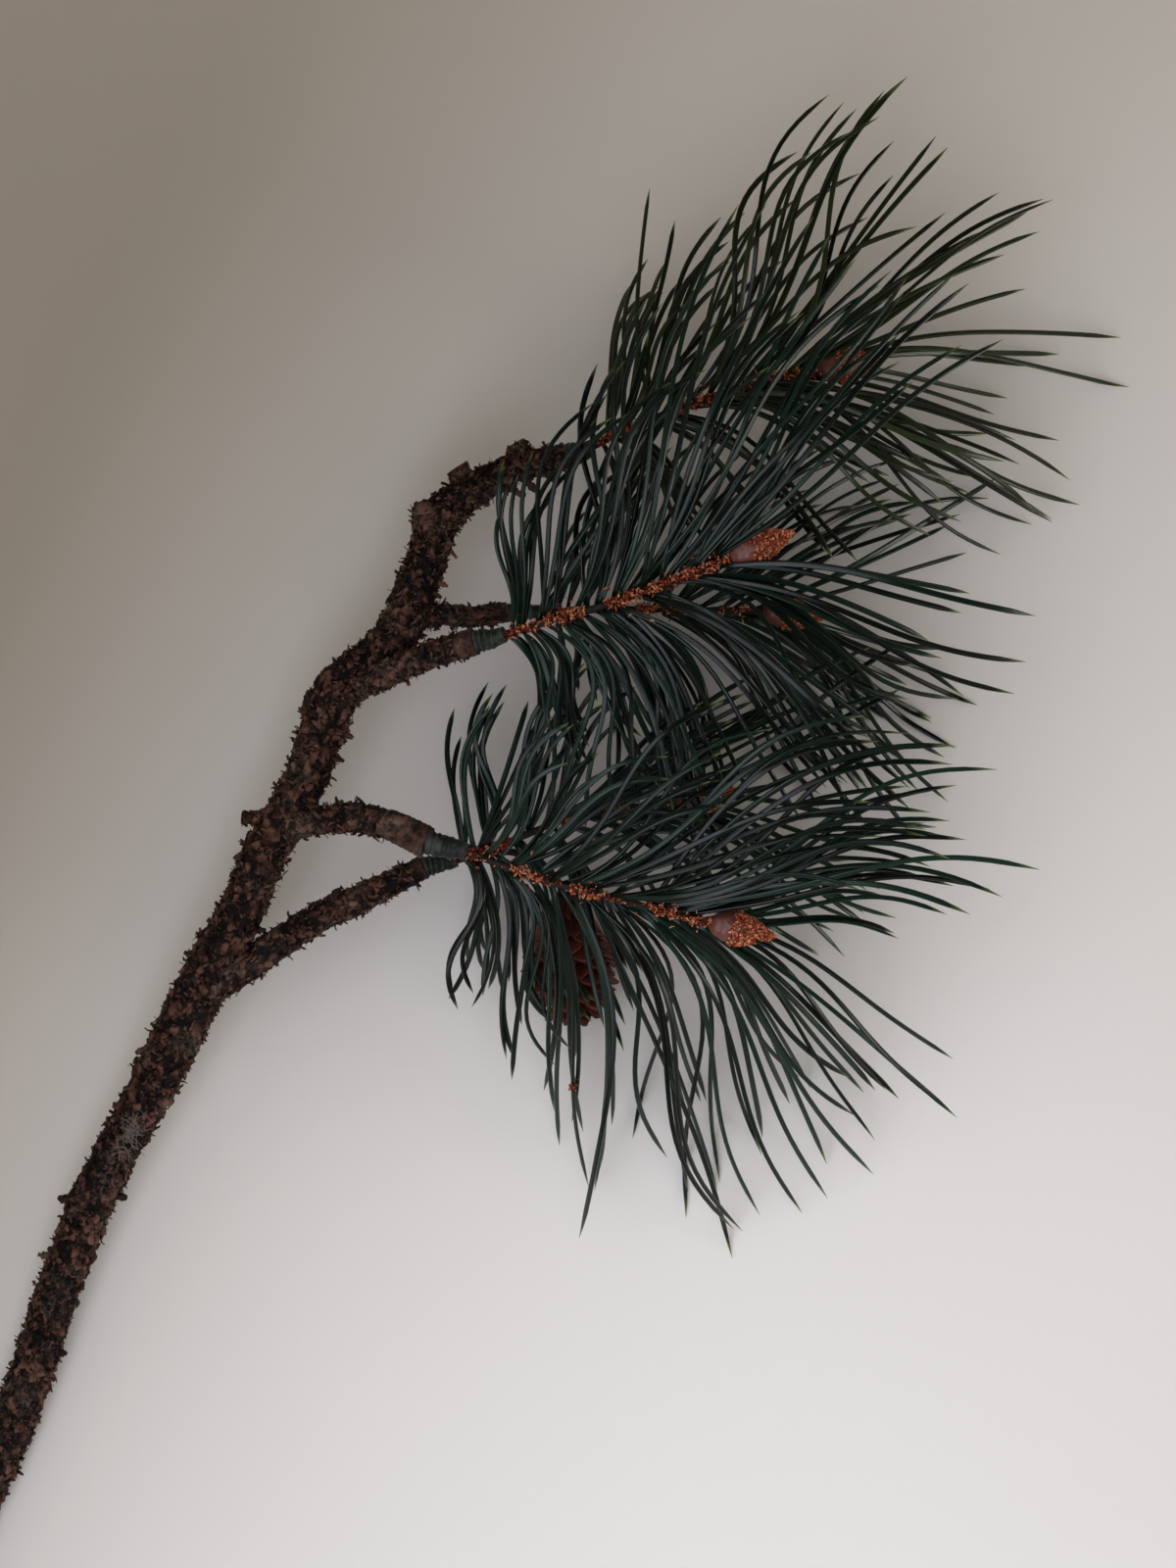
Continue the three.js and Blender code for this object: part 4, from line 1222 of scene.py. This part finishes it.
def make_stage(context):
    """The floor, soft light from one side, and a camera that looks straight down."""
    make_floor(palette(context))
    scene = context.scene
    right = np.array([math.cos(VIEW_TURN), math.sin(VIEW_TURN), 0])
    down = np.array([math.sin(VIEW_TURN), -math.cos(VIEW_TURN), 0])
    middle = (np.array(VIEW_MIDDLE) + SHIFT) * MM
    camera_data = bpy.data.cameras.new("camera")
    camera_data.lens = 70
    camera_data.sensor_width = 36
    scene.camera = bpy.data.objects.new("camera", camera_data)
    scene.camera.location = middle + np.array([0, 0, VIEW_HEIGHT])
    scene.camera.rotation_euler = (0, 0, VIEW_TURN)
    scene.collection.objects.link(scene.camera)
    for name, (place, aim, *settings) in LAMPS.items():
        at, target = (middle + right * p[0] + down * p[1] + UP * p[2] for p in (place, aim))
        add_lamp(context, name, at, target, *settings)
    scene.world = bpy.data.worlds.new("soft_grey_room")
    scene.world.use_nodes = True
    tree = scene.world.node_tree
    background = tree.nodes["Background"].inputs
    background["Color"].default_value = (*linear(ROOM_TINT), 1)
    glossy = add_node(tree, "ShaderNodeLightPath").outputs["Is Glossy Ray"]
    dimmed = times(tree, glossy, ROOM_STRENGTH_CUT)
    dimmer = calculate(tree, "SUBTRACT", ROOM_STRENGTH, dimmed)
    tree.links.new(dimmer, background["Strength"])
    scene.view_settings.view_transform = "Standard"
    scene.view_settings.look = "Medium High Contrast"


class BRANCH_OT_make_wood(bpy.types.Operator):
    """Build the stem, side branches, knobs, bark flakes, splinters and cobweb"""

    bl_idname = "branch.make_wood"
    bl_label = "Make Wood and Bark"

    def execute(self, context):
        make_wood(context)
        return {"FINISHED"}


class BRANCH_OT_make_collars(bpy.types.Operator):
    """Build the ringed collar between each side branch and its twig"""

    bl_idname = "branch.make_collars"
    bl_label = "Make Collars"

    def execute(self, context):
        make_collars(context)
        return {"FINISHED"}


class BRANCH_OT_make_twigs(bpy.types.Operator):
    """Build each twig with its line of copper flock"""

    bl_idname = "branch.make_twigs"
    bl_label = "Make Flocked Twigs"

    def execute(self, context):
        make_twigs(context)
        return {"FINISHED"}


class BRANCH_OT_make_buds(bpy.types.Operator):
    """Build the bud at the end of each twig"""

    bl_idname = "branch.make_buds"
    bl_label = "Make Buds"

    def execute(self, context):
        make_buds(context)
        return {"FINISHED"}


class BRANCH_OT_make_needles(bpy.types.Operator):
    """Build the needles on both sides of each twig"""

    bl_idname = "branch.make_needles"
    bl_label = "Make Needles"

    def execute(self, context):
        make_needles(context)
        return {"FINISHED"}


class BRANCH_OT_make_cone(bpy.types.Operator):
    """Build the cone and its wire stalk"""

    bl_idname = "branch.make_cone"
    bl_label = "Make Cone"

    def execute(self, context):
        make_cone(context)
        return {"FINISHED"}


class BRANCH_OT_make_stage(bpy.types.Operator):
    """Build the floor, lamps, world and camera"""

    bl_idname = "branch.make_stage"
    bl_label = "Make Stage"

    def execute(self, context):
        make_stage(context)
        return {"FINISHED"}


OPERATORS = [
    BRANCH_OT_make_wood,
    BRANCH_OT_make_collars,
    BRANCH_OT_make_twigs,
    BRANCH_OT_make_buds,
    BRANCH_OT_make_needles,
    BRANCH_OT_make_cone,
    BRANCH_OT_make_stage,
]


class BRANCH_PT_panel(bpy.types.Panel):
    """Lists the branch's operators and settings."""

    bl_label = "Pine Branch"
    bl_idname = "BRANCH_PT_panel"
    bl_space_type = "VIEW_3D"
    bl_region_type = "UI"
    bl_category = "Pine Branch"

    def draw(self, context):
        for operator in OPERATORS:
            self.layout.operator(operator.bl_idname)
        for group in (context.scene.branch_sizes, context.scene.branch_colours):
            for name in group.__annotations__:
                self.layout.prop(group, name)


CLASSES = [BranchSizes, BranchColours, *OPERATORS, BRANCH_PT_panel]


def register():
    for cls in CLASSES:
        bpy.utils.register_class(cls)
    bpy.types.Scene.branch_sizes = bpy.props.PointerProperty(type=BranchSizes)
    bpy.types.Scene.branch_colours = bpy.props.PointerProperty(type=BranchColours)


def unregister():
    del bpy.types.Scene.branch_colours
    del bpy.types.Scene.branch_sizes
    for cls in reversed(CLASSES):
        bpy.utils.unregister_class(cls)


def main():
    register()
    bpy.ops.branch.make_wood()
    bpy.ops.branch.make_collars()
    bpy.ops.branch.make_twigs()
    bpy.ops.branch.make_buds()
    bpy.ops.branch.make_needles()
    bpy.ops.branch.make_cone()
    bpy.ops.branch.make_stage()


if __name__ == "__main__":
    main()
